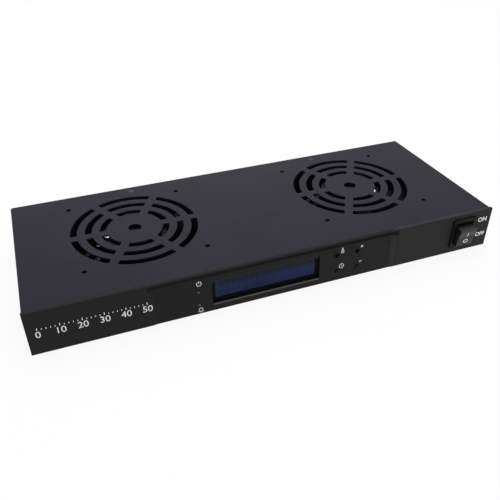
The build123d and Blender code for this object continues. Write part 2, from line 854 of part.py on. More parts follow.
def make_display_glass():
    """Glass cell behind the bezel."""
    y0 = front + bezel_setback + bezel_wall
    return display_shell(y0, y0 + glass_thick, view_width + 2 * glass_margin, view_height + 2 * glass_margin)


def make_display_backlight():
    """Light guide between the glass and the board."""
    y0 = front + bezel_setback + bezel_wall + glass_thick
    return display_shell(y0, front + front_board_setback, view_width + 2 * glass_margin,
                         view_height + 2 * glass_margin)


def make_front_board():
    """Circuit board of the display, lights and buttons."""
    y0 = front + front_board_setback
    y1 = y0 + board_thick
    board = block(front_board_left, front_board_right, y0, y1, front_board_z - front_board_height / 2,
                  front_board_z + front_board_height / 2)
    for x, z in board_spacer_places():
        board -= along_y(x, z, y0 - cut_past, y1 + cut_past, small_thread + 2 * screw_play)
    for z in light_heights:
        for side in (-1, 1):
            x = light_x + side * light_leg_pitch / 2
            board -= along_y(x, z, y0 - cut_past, y1 + cut_past, 2 * light_leg)
    return board


def make_board_spacers():
    """Spacers between the front wall and the front board."""
    spacers = []
    for x, z in board_spacer_places():
        y0 = front_wall + sheet
        y1 = front + front_board_setback
        spacers.append(along_y(x, z, y0, y1, spacer_size)
                       - along_y(x, z, y0 - cut_past, y1 + cut_past, small_thread + 2 * seat_play))
    return Compound(spacers)


def make_front_board_screws():
    """Pan head screws of the front board."""
    y0 = front + front_board_setback + board_thick
    screw = Rot(-90, 0, 0) * pan_screw(small_thread, y0 - front_wall)
    return Compound([Pos(x, y0, z) * screw for x, z in board_spacer_places()])


def make_light(z):
    """Lamp with a domed tip, a flange and two legs."""
    face = front + recess_face(z)
    tip = face - light_proud
    seat = face + fascia_wall / 2
    radius = light_size / 2
    lamp = along_y(light_x, z, tip + radius, seat + light_flange_thick, light_size)
    lamp += Pos(light_x, tip + radius, z) * Sphere(radius)
    lamp += along_y(light_x, z, seat, seat + light_flange_thick, light_flange)
    for side in (-1, 1):
        x = light_x + side * light_leg_pitch / 2
        leg = light_leg / 2
        lamp += block(x - leg, x + leg, seat + light_flange_thick / 2,
                      front + front_board_setback + board_thick + light_leg_past, z - leg, z + leg)
    return lamp


def make_button(x, z):
    """Long plunger of one tactile switch."""
    collar = front + front_board_setback - switch_body_depth + switch_wall + button_collar_play
    plunger = along_y(x, z, front + button_tip, collar + button_collar_thick, button_size)
    plunger = chamfer(plunger.edges().filter_by(GeomType.CIRCLE).sort_by(Axis.Y)[0], button_edge)
    return plunger + along_y(x, z, collar, collar + button_collar_thick, button_collar)


def make_switch_bodies():
    """Housings of the four tactile switches."""
    bodies = []
    y1 = front + front_board_setback
    y0 = y1 - switch_body_depth
    half = switch_body_size / 2
    floor = y0 + switch_wall + button_collar_thick + button_travel + switch_floor_gap
    for x in button_xs:
        for z in button_heights:
            body = block(x - half, x + half, y0, y1, z - half, z + half)
            body -= along_y(x, z, y0 + switch_wall, floor, button_collar + 2 * button_play)
            body -= along_y(x, z, y0 - cut_past, y0 + 2 * switch_wall, button_size + button_play)
            bodies.append(body)
    return Compound(bodies)


def make_switch_housing():
    """Rocker switch housing: rounded bezel, body with the rocker's well, and pivot holes."""
    bezel = Pos(rocker_x, front, rocker_z) * Rot(90, 0, 0) * extrude(
        RectangleRounded(rocker_bezel_width, rocker_bezel_height, rocker_bezel_corner), rocker_bezel_proud)
    bezel = fillet(bezel.faces().sort_by(Axis.Y)[0].edges(), rocker_bezel_edge)
    body_w = rocker_body_width / 2
    body_h = rocker_body_height / 2
    bezel += block(rocker_x - body_w, rocker_x + body_w, front, front + rocker_body_depth,
                   rocker_z - body_h, rocker_z + body_h)
    well_w = rocker_well_width / 2
    well_h = rocker_well_height / 2
    bezel -= block(rocker_x - well_w, rocker_x + well_w, front - rocker_bezel_proud - cut_past,
                   front + rocker_well_depth, rocker_z - well_h, rocker_z + well_h)
    pin_bore = rocker_pin_size + 2 * rocker_pin_play
    return bezel - along_x(pivot_y, rocker_z, rocker_x - body_w - cut_past, rocker_x + body_w + cut_past,
                           pin_bore)


def make_rocker():
    """Rocker with a dished face and pivot pins, tipped to its off position."""
    tip = rocker_pivot_depth + rocker_tip_proud
    waist = rocker_pivot_depth + rocker_waist_proud
    h = rocker_half_height
    base = rocker_base_depth
    flat = h - rocker_tip_flat
    outline = Polyline((-tip, h), (-tip, flat), (-waist, 0), (-tip, -flat), (-tip, -h),
                       (base, rocker_base_taper - h), (base, h - rocker_base_taper), close=True)
    face = make_face(outline)
    for place in ((-tip, h), (-tip, -h), (-tip, flat), (-tip, -flat)):
        face = fillet(face.vertices().sort_by_distance((*place, 0))[0], rocker_tip_radius)
    half = rocker_well_width / 2 - rocker_side_play
    body = Pos(half, 0, 0) * extrude(Plane.YZ * face, -2 * half)
    reach = rocker_body_width / 2 - rocker_pin_end_play
    body += along_x(0, 0, -reach, reach, rocker_pin_size)
    return Pos(rocker_x, pivot_y, rocker_z) * Rot(rocker_throw / 2, 0, 0) * body


def make_switch_terminals():
    """Flat terminals at the back of the rocker switch."""
    tabs = []
    y0 = front + rocker_body_depth
    for x in (rocker_x - terminal_pitch_x / 2, rocker_x + terminal_pitch_x / 2):
        for z in (rocker_z - terminal_pitch_z / 2, rocker_z + terminal_pitch_z / 2):
            tabs.append(block(x - terminal_thick / 2, x + terminal_thick / 2, y0, y0 + terminal_length,
                              z - terminal_width / 2, z + terminal_width / 2))
    return Compound(tabs)


def standoff_places():
    """Corners of the control board."""
    return [(x, y) for x in (board_left + board_inset, board_right - board_inset)
            for y in (board_front + board_inset, board_back - board_inset)]


def make_control_board():
    """Circuit board of the power supply and relays."""
    z0 = sheet + board_rise
    board = block(board_left, board_right, board_front, board_back, z0, board_top)
    for x, y in standoff_places():
        board -= post(x, y, z0 - cut_past, board_top + cut_past, small_thread + 2 * screw_play)
    return board


def make_standoffs():
    """Hexagon standoffs under the control board."""
    return Compound([Pos(x, y, sheet) * hex_nut(standoff_size, board_rise, small_thread + 2 * seat_play)
                     for x, y in standoff_places()])


def make_board_screws():
    """Screws of the control board, from above into the standoffs."""
    screw = pan_screw(small_thread, board_thick + pan_screw_length / 2)
    return Compound([Pos(x, y, board_top) * screw for x, y in standoff_places()])


def make_standoff_screws():
    """Countersunk screws through the base into the standoffs."""
    length = sheet + board_rise / 2
    screw = Rot(180, 0, 0) * countersunk_screw(small_thread, small_head, small_head_rise, length)
    return Compound([Pos(x, y, 0) * screw for x, y in standoff_places()])


def make_transformer_core():
    """E-shaped lamination stack round the winding."""
    x, y = transformer_x, transformer_y
    core = block(x - core_width / 2, x + core_width / 2, y - core_depth / 2, y + core_depth / 2,
                 board_top, board_top + core_height)
    for x0 in (x - core_window_outer, x + core_window_inner):
        core -= block(x0, x0 + core_window_outer - core_window_inner, y - core_depth, y + core_depth,
                      board_top + core_yoke, board_top + core_height - core_yoke)
    return core


def make_transformer_winding():
    """Wound bobbin on the core's middle limb."""
    x, y = transformer_x, transformer_y
    half = core_window_outer - seat_play
    low = board_top + core_yoke + seat_play
    high = board_top + core_height - core_yoke - seat_play
    coil = block(x - half, x + half, y - winding_depth / 2, y + winding_depth / 2, low, high)
    coil = fillet(coil.edges().filter_by(Axis.Z), bobbin_corner)
    limb = core_window_inner + seat_play
    return coil - block(x - limb, x + limb, y - core_depth / 2 - seat_play, y + core_depth / 2 + seat_play,
                        low - cut_past, high + cut_past)


def make_relays():
    """Relays that switch the fans."""
    w, d, h = relay_size
    relay = Pos(0, 0, h / 2) * Box(w, d, h)
    relay = fillet(relay.edges().filter_by(Axis.Z), relay_corner)
    right = board_right - relay_inset - w / 2
    return Compound([Pos(x, board_front + relay_setback, board_top) * relay
                     for x in (right - w - relay_gap, right)])


def make_capacitors():
    """Round capacitors of the power supply."""
    body = Pos(0, 0, capacitor_height / 2) * Cylinder(capacitor_size / 2, capacitor_height)
    body = chamfer(body.edges().filter_by(GeomType.CIRCLE).sort_by(Axis.Z)[-1], capacitor_edge)
    right = board_right - capacitor_inset
    return Compound([Pos(x, board_front + capacitor_setback, board_top) * body
                     for x in (right - capacitor_pitch, right)])


def make_terminal_block():
    """Screw terminal block with a wire entry and a screw well for each way."""
    half = terminal_ways * way_pitch / 2
    y = board_back - terminal_block_setback
    y1 = y + terminal_block_depth / 2
    top = board_top + terminal_block_height
    body = block(-half, half, y - terminal_block_depth / 2, y1, board_top, top)
    for i in range(terminal_ways):
        x = (i + 0.5) * way_pitch - half
        body -= post(x, y - way_bore_offset, top - way_depth, top + cut_past, way_bore)
        body -= block(x - way_bore / 2, x + way_bore / 2, y1 - way_depth, y1 + cut_past,
                      board_top + way_entry_low, board_top + way_entry_high)
    return body


def make_fuse():
    """Cartridge fuse in its clips."""
    return along_x(fuse_y, fuse_z, fuse_x - fuse_length / 2, fuse_x + fuse_length / 2, fuse_size)


def make_fuse_clips():
    """Two clips that hold the fuse's caps."""
    w, d, h = fuse_clip_size
    clips = []
    for side in (-1, 1):
        x = fuse_x + side * (fuse_length / 2 - w / 2)
        clip = block(x - w / 2, x + w / 2, fuse_y - d / 2, fuse_y + d / 2, board_top, board_top + h)
        clip -= along_x(fuse_y, fuse_z, x - w, x + w, fuse_size + 2 * seat_play)
        clips.append(clip - block(x - w, x + w, fuse_y - fuse_size / 3, fuse_y + fuse_size / 3,
                                  fuse_z, fuse_z + h))
    return Compound(clips)


def cavity_outline():
    """Mouth of the mains inlet, with its two cut corners at the earth pin's side."""
    w = inlet_cavity_width / 2
    h = inlet_cavity_height / 2
    c = inlet_corner
    return make_face(Polyline((-w, -h), (w, -h), (w, h - c), (w - c, h), (c - w, h), (-w, h - c), close=True))


def inlet_pin_places():
    """Live, neutral and earth pins, from the inlet's centre."""
    return [(-pin_spacing, -pin_drop), (pin_spacing, -pin_drop), (0, earth_pin_rise)]


def inlet_pin(x, z):
    """One flat pin with its tail behind the inlet."""
    floor = back + inlet_flange_thick - inlet_cavity_depth
    return block(inlet_x + x - pin_width / 2, inlet_x + x + pin_width / 2,
                 back - inlet_body_depth - pin_tail, floor + pin_length,
                 inlet_height + z - pin_height / 2, inlet_height + z + pin_height / 2)


def make_inlet_body():
    """Mains inlet with a screw flange outside the rear wall."""
    flange = Pos(inlet_x, back + inlet_flange_thick, inlet_height) * Rot(90, 0, 0) * extrude(
        RectangleRounded(inlet_flange_width, inlet_flange_height, inlet_flange_corner), inlet_flange_thick)
    body = flange + block(inlet_x - inlet_body_width / 2, inlet_x + inlet_body_width / 2,
                          back - inlet_body_depth, back + inlet_flange_thick / 2,
                          inlet_height - inlet_body_height / 2, inlet_height + inlet_body_height / 2)
    mouth = Pos(inlet_x, back + inlet_flange_thick + cut_past, inlet_height) * Rot(90, 0, 0) * extrude(
        cavity_outline(), inlet_cavity_depth + cut_past)
    body -= mouth
    for x, z in inlet_pin_places():
        body -= inlet_pin(x, z)
    sink = Rot(-90, 0, 0) * countersink(small_thread, small_head, small_head_rise, 3 * inlet_flange_thick)
    for side in (-1, 1):
        x = inlet_x + side * inlet_screw_pitch / 2
        body -= Pos(x, back + inlet_flange_thick, inlet_height) * sink
    return body


def make_inlet_pins():
    """Pins of the mains inlet."""
    return Compound([inlet_pin(x, z) for x, z in inlet_pin_places()])


def make_inlet_screws():
    """Countersunk screws of the mains inlet."""
    length = inlet_flange_thick + sheet + small_nut_height
    screw = Rot(-90, 0, 0) * countersunk_screw(small_thread, small_head, small_head_rise, length)
    return Compound([Pos(inlet_x + side * inlet_screw_pitch / 2, back + inlet_flange_thick, inlet_height)
                     * screw for side in (-1, 1)])


def make_inlet_nuts():
    """Nuts behind the mains inlet's flange."""
    nut = Rot(90, 0, 0) * hex_nut(small_nut_flats, small_nut_height, small_thread + 2 * seat_play)
    return Compound([Pos(inlet_x + side * inlet_screw_pitch / 2, back - sheet, inlet_height) * nut
                     for side in (-1, 1)])


def make_probe_socket():
    """Threaded panel socket for the temperature probe."""
    socket = along_y(probe_x, probe_height, back - probe_length, back, probe_thread)
    socket += along_y(probe_x, probe_height, back, back + probe_head_thick, probe_thread + 2 * probe_head_rim)
    return socket - along_y(probe_x, probe_height, back - probe_length + probe_end_wall,
                            back + probe_head_thick + cut_past, probe_bore)


def make_probe_nut():
    """Nut of the probe's socket."""
    nut = Rot(90, 0, 0) * hex_nut(probe_thread + 2 * probe_nut_rim, probe_nut_height,
                                  probe_thread + 2 * seat_play)
    return Pos(probe_x, back - sheet, probe_height) * nut


def save_fans():
    """Write the pieces of both fans."""
    pieces = {
        "frame": make_fan_frame(),
        "bearings": make_bearings(),
        "stator": make_stator_core(),
        "windings": make_windings(),
        "shaft": make_shaft(),
        "rotor_cage": make_rotor_cage(),
        "rotor_cup": make_rotor_cup(),
        "impeller": make_impeller(),
    }
    for side, (x, y) in fan_centres.items():
        turn = right_impeller_turn if side == "right" else 0
        for piece, shape in pieces.items():
            own_turn = turn if piece == "impeller" else 0
            save(Pos(x, y, sheet) * Rot(0, 0, own_turn) * shape, f"{side}_fan_{piece}")


def save_buttons():
    """Write the four button plungers."""
    names = {(0, 0): "temperature_button", (0, 1): "clock_button",
             (1, 0): "plus_button", (1, 1): "minus_button"}
    for (column, row), name in names.items():
        save(make_button(button_xs[column], button_heights[row]), name)


os.makedirs("parts", exist_ok=True)
save(make_top_cover(), "top_cover")
save(make_base_tray(), "base_tray")
save(make_fascia(), "front_fascia")
save(make_fascia_screws(), "fascia_screws")
save(make_cover_screws(), "cover_screws")
save(make_ear_inserts(), "ear_inserts")
save_fans()
save(make_fan_screws(), "fan_screws")
save(make_fan_nuts(), "fan_nuts")
save(make_display_bezel(), "display_bezel")
save(make_display_glass(), "display_glass")
save(make_display_backlight(), "display_backlight")
save(make_front_board(), "front_board")
save(make_board_spacers(), "board_spacers")
save(make_front_board_screws(), "front_board_screws")
save(make_light(light_heights[0]), "power_light")
save(make_light(light_heights[1]), "alarm_light")
save_buttons()
save(make_switch_bodies(), "button_switches")
save(make_switch_housing(), "rocker_housing")
save(make_rocker(), "power_rocker")
save(make_switch_terminals(), "rocker_terminals")
save(make_control_board(), "control_board")
save(make_standoffs(), "board_standoffs")
save(make_board_screws(), "board_screws")
save(make_standoff_screws(), "standoff_screws")
save(make_transformer_core(), "transformer_core")
save(make_transformer_winding(), "transformer_winding")
save(make_relays(), "relays")
save(make_capacitors(), "capacitors")
save(make_terminal_block(), "terminal_block")
save(make_fuse(), "fuse")
save(make_fuse_clips(), "fuse_clips")
save(make_inlet_body(), "inlet_body")
save(make_inlet_pins(), "inlet_pins")
save(make_inlet_screws(), "inlet_screws")
save(make_inlet_nuts(), "inlet_nuts")
save(make_probe_socket(), "probe_socket")
save(make_probe_nut(), "probe_nut")
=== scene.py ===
"""Looks of the rack fan tray: its finishes, printed marks, screw heads, display and studio."""

import logging
import math
from dataclasses import dataclass
from enum import Enum

import bmesh
import bpy
from mathutils import Matrix, Vector


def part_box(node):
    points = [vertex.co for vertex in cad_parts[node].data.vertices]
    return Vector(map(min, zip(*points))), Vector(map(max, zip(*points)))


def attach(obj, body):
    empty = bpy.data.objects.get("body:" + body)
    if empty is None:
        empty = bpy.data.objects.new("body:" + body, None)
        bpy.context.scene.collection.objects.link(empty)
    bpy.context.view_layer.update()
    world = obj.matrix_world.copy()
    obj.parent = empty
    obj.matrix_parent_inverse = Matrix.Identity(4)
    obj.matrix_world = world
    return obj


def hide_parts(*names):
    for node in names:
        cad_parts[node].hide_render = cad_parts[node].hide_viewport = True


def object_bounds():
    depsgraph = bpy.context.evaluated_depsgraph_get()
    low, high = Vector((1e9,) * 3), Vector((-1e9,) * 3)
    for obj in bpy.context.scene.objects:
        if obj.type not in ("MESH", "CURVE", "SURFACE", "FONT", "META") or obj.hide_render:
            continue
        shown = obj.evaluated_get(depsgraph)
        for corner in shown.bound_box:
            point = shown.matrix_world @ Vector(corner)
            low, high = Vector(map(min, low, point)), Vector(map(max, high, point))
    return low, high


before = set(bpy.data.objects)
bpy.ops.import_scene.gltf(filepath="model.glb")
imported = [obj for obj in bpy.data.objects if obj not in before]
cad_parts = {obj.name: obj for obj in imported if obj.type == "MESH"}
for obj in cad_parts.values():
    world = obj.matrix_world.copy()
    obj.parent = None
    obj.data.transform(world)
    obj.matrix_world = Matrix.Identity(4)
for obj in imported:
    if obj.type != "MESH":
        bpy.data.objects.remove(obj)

CAD_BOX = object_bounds()
MM = 0.001
WHITE = (1.0, 1.0, 1.0, 1.0)
log = logging.getLogger("fan_tray")


def mm(*values: float) -> tuple[float, ...]:
    """Millimetres as metres."""
    return tuple(value * MM for value in values)


def paint(red: float, green: float, blue: float) -> tuple[float, float, float, float]:
    """Linear colour of a paint sample.

    Args:
        red: red of the sample, 0 to 255.
        green: green of the sample, 0 to 255.
        blue: blue of the sample, 0 to 255.

    Returns:
        The colour as Blender's sockets take it, with full alpha.
    """
    linear = []
    for value in (red, green, blue):
        share = value / 255
        linear.append(share / 12.92 if share <= 0.04045 else ((share + 0.055) / 1.055) ** 2.4)
    return (*linear, 1.0)


def tinted(colour: tuple, gain: float, lift: float = 0.0) -> tuple[float, ...]:
    """Linear colour times a gain, with a little grey on top."""
    return (*(value * gain + lift for value in colour[:3]), 1.0)


def linked(name: str, data: bpy.types.ID) -> bpy.types.Object:
    """Add an object to the scene.

    Args:
        name: its name.
        data: what it shows.

    Returns:
        The object.
    """
    made = bpy.data.objects.new(name, data)
    bpy.context.scene.collection.objects.link(made)
    return made


class Wire:
    """A node's output whose operators add Math nodes beside it."""

    def __init__(self, bench: "Bench", socket: bpy.types.NodeSocket) -> None:
        """Hold the output and the bench it belongs to."""
        self.bench = bench
        self.socket = socket

    def math(self, operation: str, first: "Wire | float", second: "Wire | float" = 0.0) -> "Wire":
        """Result of one Math node."""
        return self.bench.node("ShaderNodeMath", {"operation": operation}, {0: first, 1: second})

    def __add__(self, other: "Wire | float") -> "Wire":
        """Sum."""
        return self.math("ADD", self, other)

    def __radd__(self, other: float) -> "Wire":
        """Sum with the number first."""
        return self.math("ADD", other, self)

    def __sub__(self, other: "Wire | float") -> "Wire":
        """Difference."""
        return self.math("SUBTRACT", self, other)

    def __rsub__(self, other: float) -> "Wire":
        """Difference from a number."""
        return self.math("SUBTRACT", other, self)

    def __mul__(self, other: "Wire | float") -> "Wire":
        """Product."""
        return self.math("MULTIPLY", self, other)

    def __rmul__(self, other: float) -> "Wire":
        """Product with the number first."""
        return self.math("MULTIPLY", other, self)

    def __truediv__(self, other: "Wire | float") -> "Wire":
        """Quotient."""
        return self.math("DIVIDE", self, other)

    def __mod__(self, other: "Wire | float") -> "Wire":
        """Remainder."""
        return self.math("MODULO", self, other)

    def __abs__(self) -> "Wire":
        """Size without its sign."""
        return self.math("ABSOLUTE", self)

    def sine(self) -> "Wire":
        """Sine of an angle in radians."""
        return self.math("SINE", self)

    def cosine(self) -> "Wire":
        """Cosine of an angle in radians."""
        return self.math("COSINE", self)

    def root(self) -> "Wire":
        """Square root."""
        return self.math("SQRT", self)

    def floor(self) -> "Wire":
        """Whole number below."""
        return self.math("FLOOR", self)

    def larger(self, other: "Wire | float") -> "Wire":
        """The larger of two values."""
        return self.math("MAXIMUM", self, other)

    def smaller(self, other: "Wire | float") -> "Wire":
        """The smaller of two values."""
        return self.math("MINIMUM", self, other)

    def ramp(self, low: float, high: float) -> "Wire":
        """Smooth step from 0 at the low value to 1 at the high one."""
        ends = {"Value": self, "From Min": low, "From Max": high}
        return self.bench.node("ShaderNodeMapRange", {"interpolation_type": "SMOOTHSTEP"}, ends)

    def band(self, start: float, full: float, last: float, end: float) -> "Wire":
        """Smooth span that rises from start to full and falls from last to end."""
        return self.ramp(start, full) * self.ramp(end, last)


class Bench:
    """A node tree that is filled by calls to node()."""

    tree: bpy.types.NodeTree

    def node(self, kind: str, settings: dict | None = None, sockets: dict | None = None,
             out: int | str = 0) -> Wire | None:
        """Add one node.

        Args:
            kind: the node's type.
            settings: its properties.
            sockets: values, wires or lists of wires of its inputs, by name or number.
            out: the output that the caller wants.

        Returns:
            That output, or None for a node without outputs.
        """
        made = self.tree.nodes.new(kind)
        for key, value in (settings or {}).items():
            setattr(made, key, value)
        for key, value in (sockets or {}).items():
            if isinstance(value, (Wire, list)):
                for wire in value if isinstance(value, list) else [value]:
                    self.tree.links.new(wire.socket, made.inputs[key])
            else:
                made.inputs[key].default_value = value
        return Wire(self, made.outputs[out]) if made.outputs else None

    def vector(self, x: Wire | float, y: Wire | float, z: Wire | float) -> Wire:
        """Vector of three values."""
        return self.node("ShaderNodeCombineXYZ", None, {"X": x, "Y": y, "Z": z})

    def sight(self) -> Wire:
        """Mask of the rays that show what they meet: the camera's, mirrored and passed through.

        Returns:
            1 on such a ray and 0 on any other.
        """
        rays = self.tree.nodes.new("ShaderNodeLightPath")
        seen = Wire(self, rays.outputs["Is Camera Ray"])
        for kind in ("Is Glossy Ray", "Is Transmission Ray"):
            seen = seen.larger(Wire(self, rays.outputs[kind]))
        return seen


class Shade(Bench):
    """Node tree of one material."""

    # Settings of the dull black that finish() mixes in as painted shade.
    painted_shade: dict = {"Base Color": paint(6, 6, 7), "Roughness": 0.9, "Specular IOR Level": 0.0}

    def __init__(self, name: str) -> None:
        """Start an empty material.

        Args:
            name: the material's name.
        """
        self.material = bpy.data.materials.new(name)
        self.material.use_nodes = True
        self.tree = self.material.node_tree
        self.tree.nodes.clear()
        self.place = self.node("ShaderNodeTexCoord", out="Object")

    def noise(self, size: float, detail: float = 2.0, stretch: tuple = (1.0, 1.0, 1.0)) -> Wire:
        """Soft random pattern.

        Args:
            size: size of its grains in metres.
            detail: octaves of finer grain.
            stretch: how much finer it is along each axis.

        Returns:
            A value about 0.5.
        """
        vector = self.place
        if stretch != (1.0, 1.0, 1.0):
            vector = self.node("ShaderNodeMapping", None, {"Vector": self.place, "Scale": stretch})
        return self.node("ShaderNodeTexNoise", None, {"Vector": vector, "Scale": 1 / size, "Detail": detail})

    def cloud(self, size: float, low: float = 0.3, detail: float = 3.0) -> Wire:
        """Soft patches of a size in metres, from 0 where the noise is low to 1."""
        return self.noise(size, detail).ramp(low, 1.0 - low)

    def mix(self, low: "Wire | tuple", high: "Wire | tuple", share: "Wire | float") -> Wire:
        """Blend of two colours, the low one at a share of 0."""
        return self.node("ShaderNodeMix", {"data_type": "RGBA"}, {0: share, 6: low, 7: high}, 2)

    def bump(self, height: Wire, depth: float, under: Wire | None = None) -> Wire:
        """Normal of a relief.

        Args:
            height: the relief, from 0 to 1.
            depth: its depth in metres.
            under: normal of a coarser relief below it.

        Returns:
            The bumped normal.
        """
        sockets = {"Height": height, "Distance": depth, "Strength": 1.0}
        if under is not None:
            sockets["Normal"] = under
        return self.node("ShaderNodeBump", None, sockets)

    def axis(self, name: str) -> Wire:
        """One of the place's coordinates, by its letter."""
        return self.node("ShaderNodeSeparateXYZ", None, {0: self.place}, name)

    def edges(self, low: Vector, high: Vector, reach: float) -> Wire:
        """Mask of a box's outer edges.

        Args:
            low: lowest corner.
            high: highest corner.
            reach: how far the mask runs from an edge, in metres.

        Returns:
            1 on the edges and 0 away from them.
        """
        near = []
        for letter, start, end in zip("XYZ", low, high):
            inside = (end - start) / 2 - abs(self.axis(letter) - (end + start) / 2)
            near.append(inside.ramp(reach, 0.0))
        x, y, z = near
        return (x * y).larger(y * z).larger(x * z)

    def finish(self, sockets: dict, painted_shade: Wire | None = None) -> bpy.types.Material:
        """Close the material with its surface shader.

        Args:
            sockets: values or wires of the shader's inputs.
            painted_shade: share of a dull black without any sheen, painted shade for folds that light hardly
                reaches.

        Returns:
            The material.
        """
        shader = self.node("ShaderNodeBsdfPrincipled", None, sockets)
        # Painted shade: a dull black shader mixed over the surface.
        if painted_shade is not None:
            dull = self.node("ShaderNodeBsdfPrincipled", None, self.painted_shade)
            shader = self.node("ShaderNodeMixShader", None, {0: painted_shade, 1: shader, 2: dull})
        self.node("ShaderNodeOutputMaterial", None, {"Surface": shader})
        return self.material


class Shape(Bench):
    """Geometry node tree with named inputs that ends in realized instances and a material."""

    corner_steps: int = 3
    ring_steps: int = 96

    def __init__(self, name: str, inputs: dict[str, int | float]) -> None:
        """Start a tree.

        Args:
            name: its name.
            inputs: the values of its named inputs.
        """
        self.name = name
        self.values = inputs
        self.tree = bpy.data.node_groups.new(name, "GeometryNodeTree")
        face = self.tree.interface
        face.new_socket("Geometry", in_out="INPUT", socket_type="NodeSocketGeometry")
        for key, value in inputs.items():
            kind = "NodeSocketInt" if isinstance(value, int) else "NodeSocketFloat"
            face.new_socket(key, in_out="INPUT", socket_type=kind)
        face.new_socket("Finish", in_out="INPUT", socket_type="NodeSocketMaterial")
        face.new_socket("Geometry", in_out="OUTPUT", socket_type="NodeSocketGeometry")
        self.entry = self.tree.nodes.new("NodeGroupInput")

    def __getitem__(self, key: str) -> Wire:
        """Named input of the tree."""
        return Wire(self, self.entry.outputs[key])

    def index(self) -> Wire:
        """Number of the point or face at hand."""
        return self.node("GeometryNodeInputIndex")

    def place(self) -> tuple[Wire, Wire, Wire]:
        """Coordinates of the point at hand."""
        where = self.node("GeometryNodeInputPosition")
        return tuple(self.node("ShaderNodeSeparateXYZ", None, {0: where}, letter) for letter in "XYZ")

    def moved(self, geometry: Wire, offset: Wire | tuple) -> Wire:
        """Geometry shifted by an offset."""
        return self.node("GeometryNodeTransform", None, {"Geometry": geometry, "Translation": offset})

    def swept(self, path: Wire, width: Wire | float, height: Wire | float, corner: Wire | float) -> Wire:
        """Rounded rectangle swept along a path, capped at open ends.

        Args:
            path: the curve to follow.
            width: the section's width.
            height: the section's height.
            corner: radius of its corners.

        Returns:
            The closed mesh.
        """
        section = self.node("GeometryNodeCurvePrimitiveQuadrilateral", None,
                            {"Width": width, "Height": height})
        section = self.node("GeometryNodeFilletCurve", {"mode": "POLY"},
                            {"Curve": section, "Count": self.corner_steps, "Radius": corner})
        return self.node("GeometryNodeCurveToMesh", None,
                         {"Curve": path, "Profile Curve": section, "Fill Caps": True})

    def plate(self, width: Wire | float, height: Wire | float, thickness: Wire | float,
              corner: Wire | float) -> Wire:
        """Rounded plate that stands on the XY plane."""
        path = self.node("GeometryNodeCurvePrimitiveLine", None, {"End": self.vector(0.0, 0.0, thickness)})
        return self.swept(path, width, height, corner)

    def ring(self, radius: Wire | float, width: Wire | float, height: Wire | float,
             corner: Wire | float) -> Wire:
        """Ring of a middle radius with a rounded section, round the Z axis."""
        path = self.node("GeometryNodeCurvePrimitiveCircle", None,
                         {"Radius": radius, "Resolution": self.ring_steps})
        return self.swept(path, width, height, corner)

    def copies(self, points: Wire, instance: Wire, rotation: Wire | tuple = (0.0, 0.0, 0.0),
               scale: Wire | tuple = (1.0, 1.0, 1.0)) -> Wire:
        """Instance at each point, turned and scaled."""
        return self.node("GeometryNodeInstanceOnPoints", None,
                         {"Points": points, "Instance": instance, "Rotation": rotation, "Scale": scale})

    def close(self, geometry: Wire) -> None:
        """End the tree.

        Args:
            geometry: what it makes.
        """
        real = self.node("GeometryNodeRealizeInstances", None, {"Geometry": geometry})
        done = self.node("GeometryNodeSetMaterial", None, {"Geometry": real, "Material": self["Finish"]})
        self.node("NodeGroupOutput", None, {"Geometry": done})

    def make(self, material: bpy.types.Material, points: list | None = None,
             axes: list | None = None) -> bpy.types.Object:
        """Object that carries the tree as a modifier.

        Args:
            material: value of the tree's Finish input.
            points: places that the tree repeats something at.
            axes: direction at each of those places.

        Returns:
            The working object.
        """
        mesh = bpy.data.meshes.new(self.name + "_source")
        mesh.from_pydata(points or [], [], [])
        if axes:
            stored = mesh.attributes.new("axis", "FLOAT_VECTOR", "POINT")
            stored.data.foreach_set("vector", [value for axis in axes for value in axis])
        source = linked(self.name + "_source", mesh)
        modifier = source.modifiers.new("shape", "NODES")
        modifier.node_group = self.tree
        values = {**self.values, "Finish": material}
        for item in self.tree.interface.items_tree:
            if item.in_out == "INPUT" and item.name in values:
                modifier[item.identifier] = values[item.name]
        return source


@dataclass(frozen=True)
class Finish:
    """What each finish has: the name of its material.

    In the finishes below, colours are linear and lengths are in metres. A pair that ends in _noise holds
    the noise at which a pattern starts and is full, _depth is a relief's depth, and _matt is how much
    rougher a pattern makes the surface.
    """

    name: str

    def build(self) -> bpy.types.Material:
        """Make the material."""
        raise NotImplementedError


@dataclass(frozen=True)
class PowderCoat(Finish):
    """Baked powder over sheet steel: dark, finely pebbled, a little rubbed along its edges."""

    node: str
    colour: tuple = paint(23, 21, 33)
    faded: tuple = paint(27, 25, 37)
    rubbed: tuple = paint(70, 69, 74)
    specular: float = 0.1
    roughness: float = 0.5
    pebble: float = 0.55 * MM
    pebble_depth: float = 0.012 * MM
    rub_reach: float = 1.1 * MM
    rub_share: float = 0.6
    rub_grain: float = 4 * MM
    rub_noise: tuple = (0.45, 0.75)
    rub_gloss: float = 0.12
    patch: float = 60 * MM
    patch_noise: float = 0.35
    pebble_matt: float = 0.1

    def build(self) -> bpy.types.Material:
        """Make the material.

        Returns:
            The material, ready to dress a piece.
        """
        shade = Shade(self.name)
        pebble = shade.noise(self.pebble)
        worn = shade.noise(self.rub_grain, detail=4.0).ramp(*self.rub_noise)
        rub = shade.edges(*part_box(self.node), self.rub_reach) * worn
        colour = shade.mix(self.colour, self.faded, shade.cloud(self.patch, self.patch_noise))
        return shade.finish({
            "Base Color": shade.mix(colour, self.rubbed, rub * self.rub_share),
            "Roughness": self.roughness + self.pebble_matt * pebble - self.rub_gloss * rub,
            "Specular IOR Level": self.specular,
            "Normal": shade.bump(pebble, self.pebble_depth),
        })


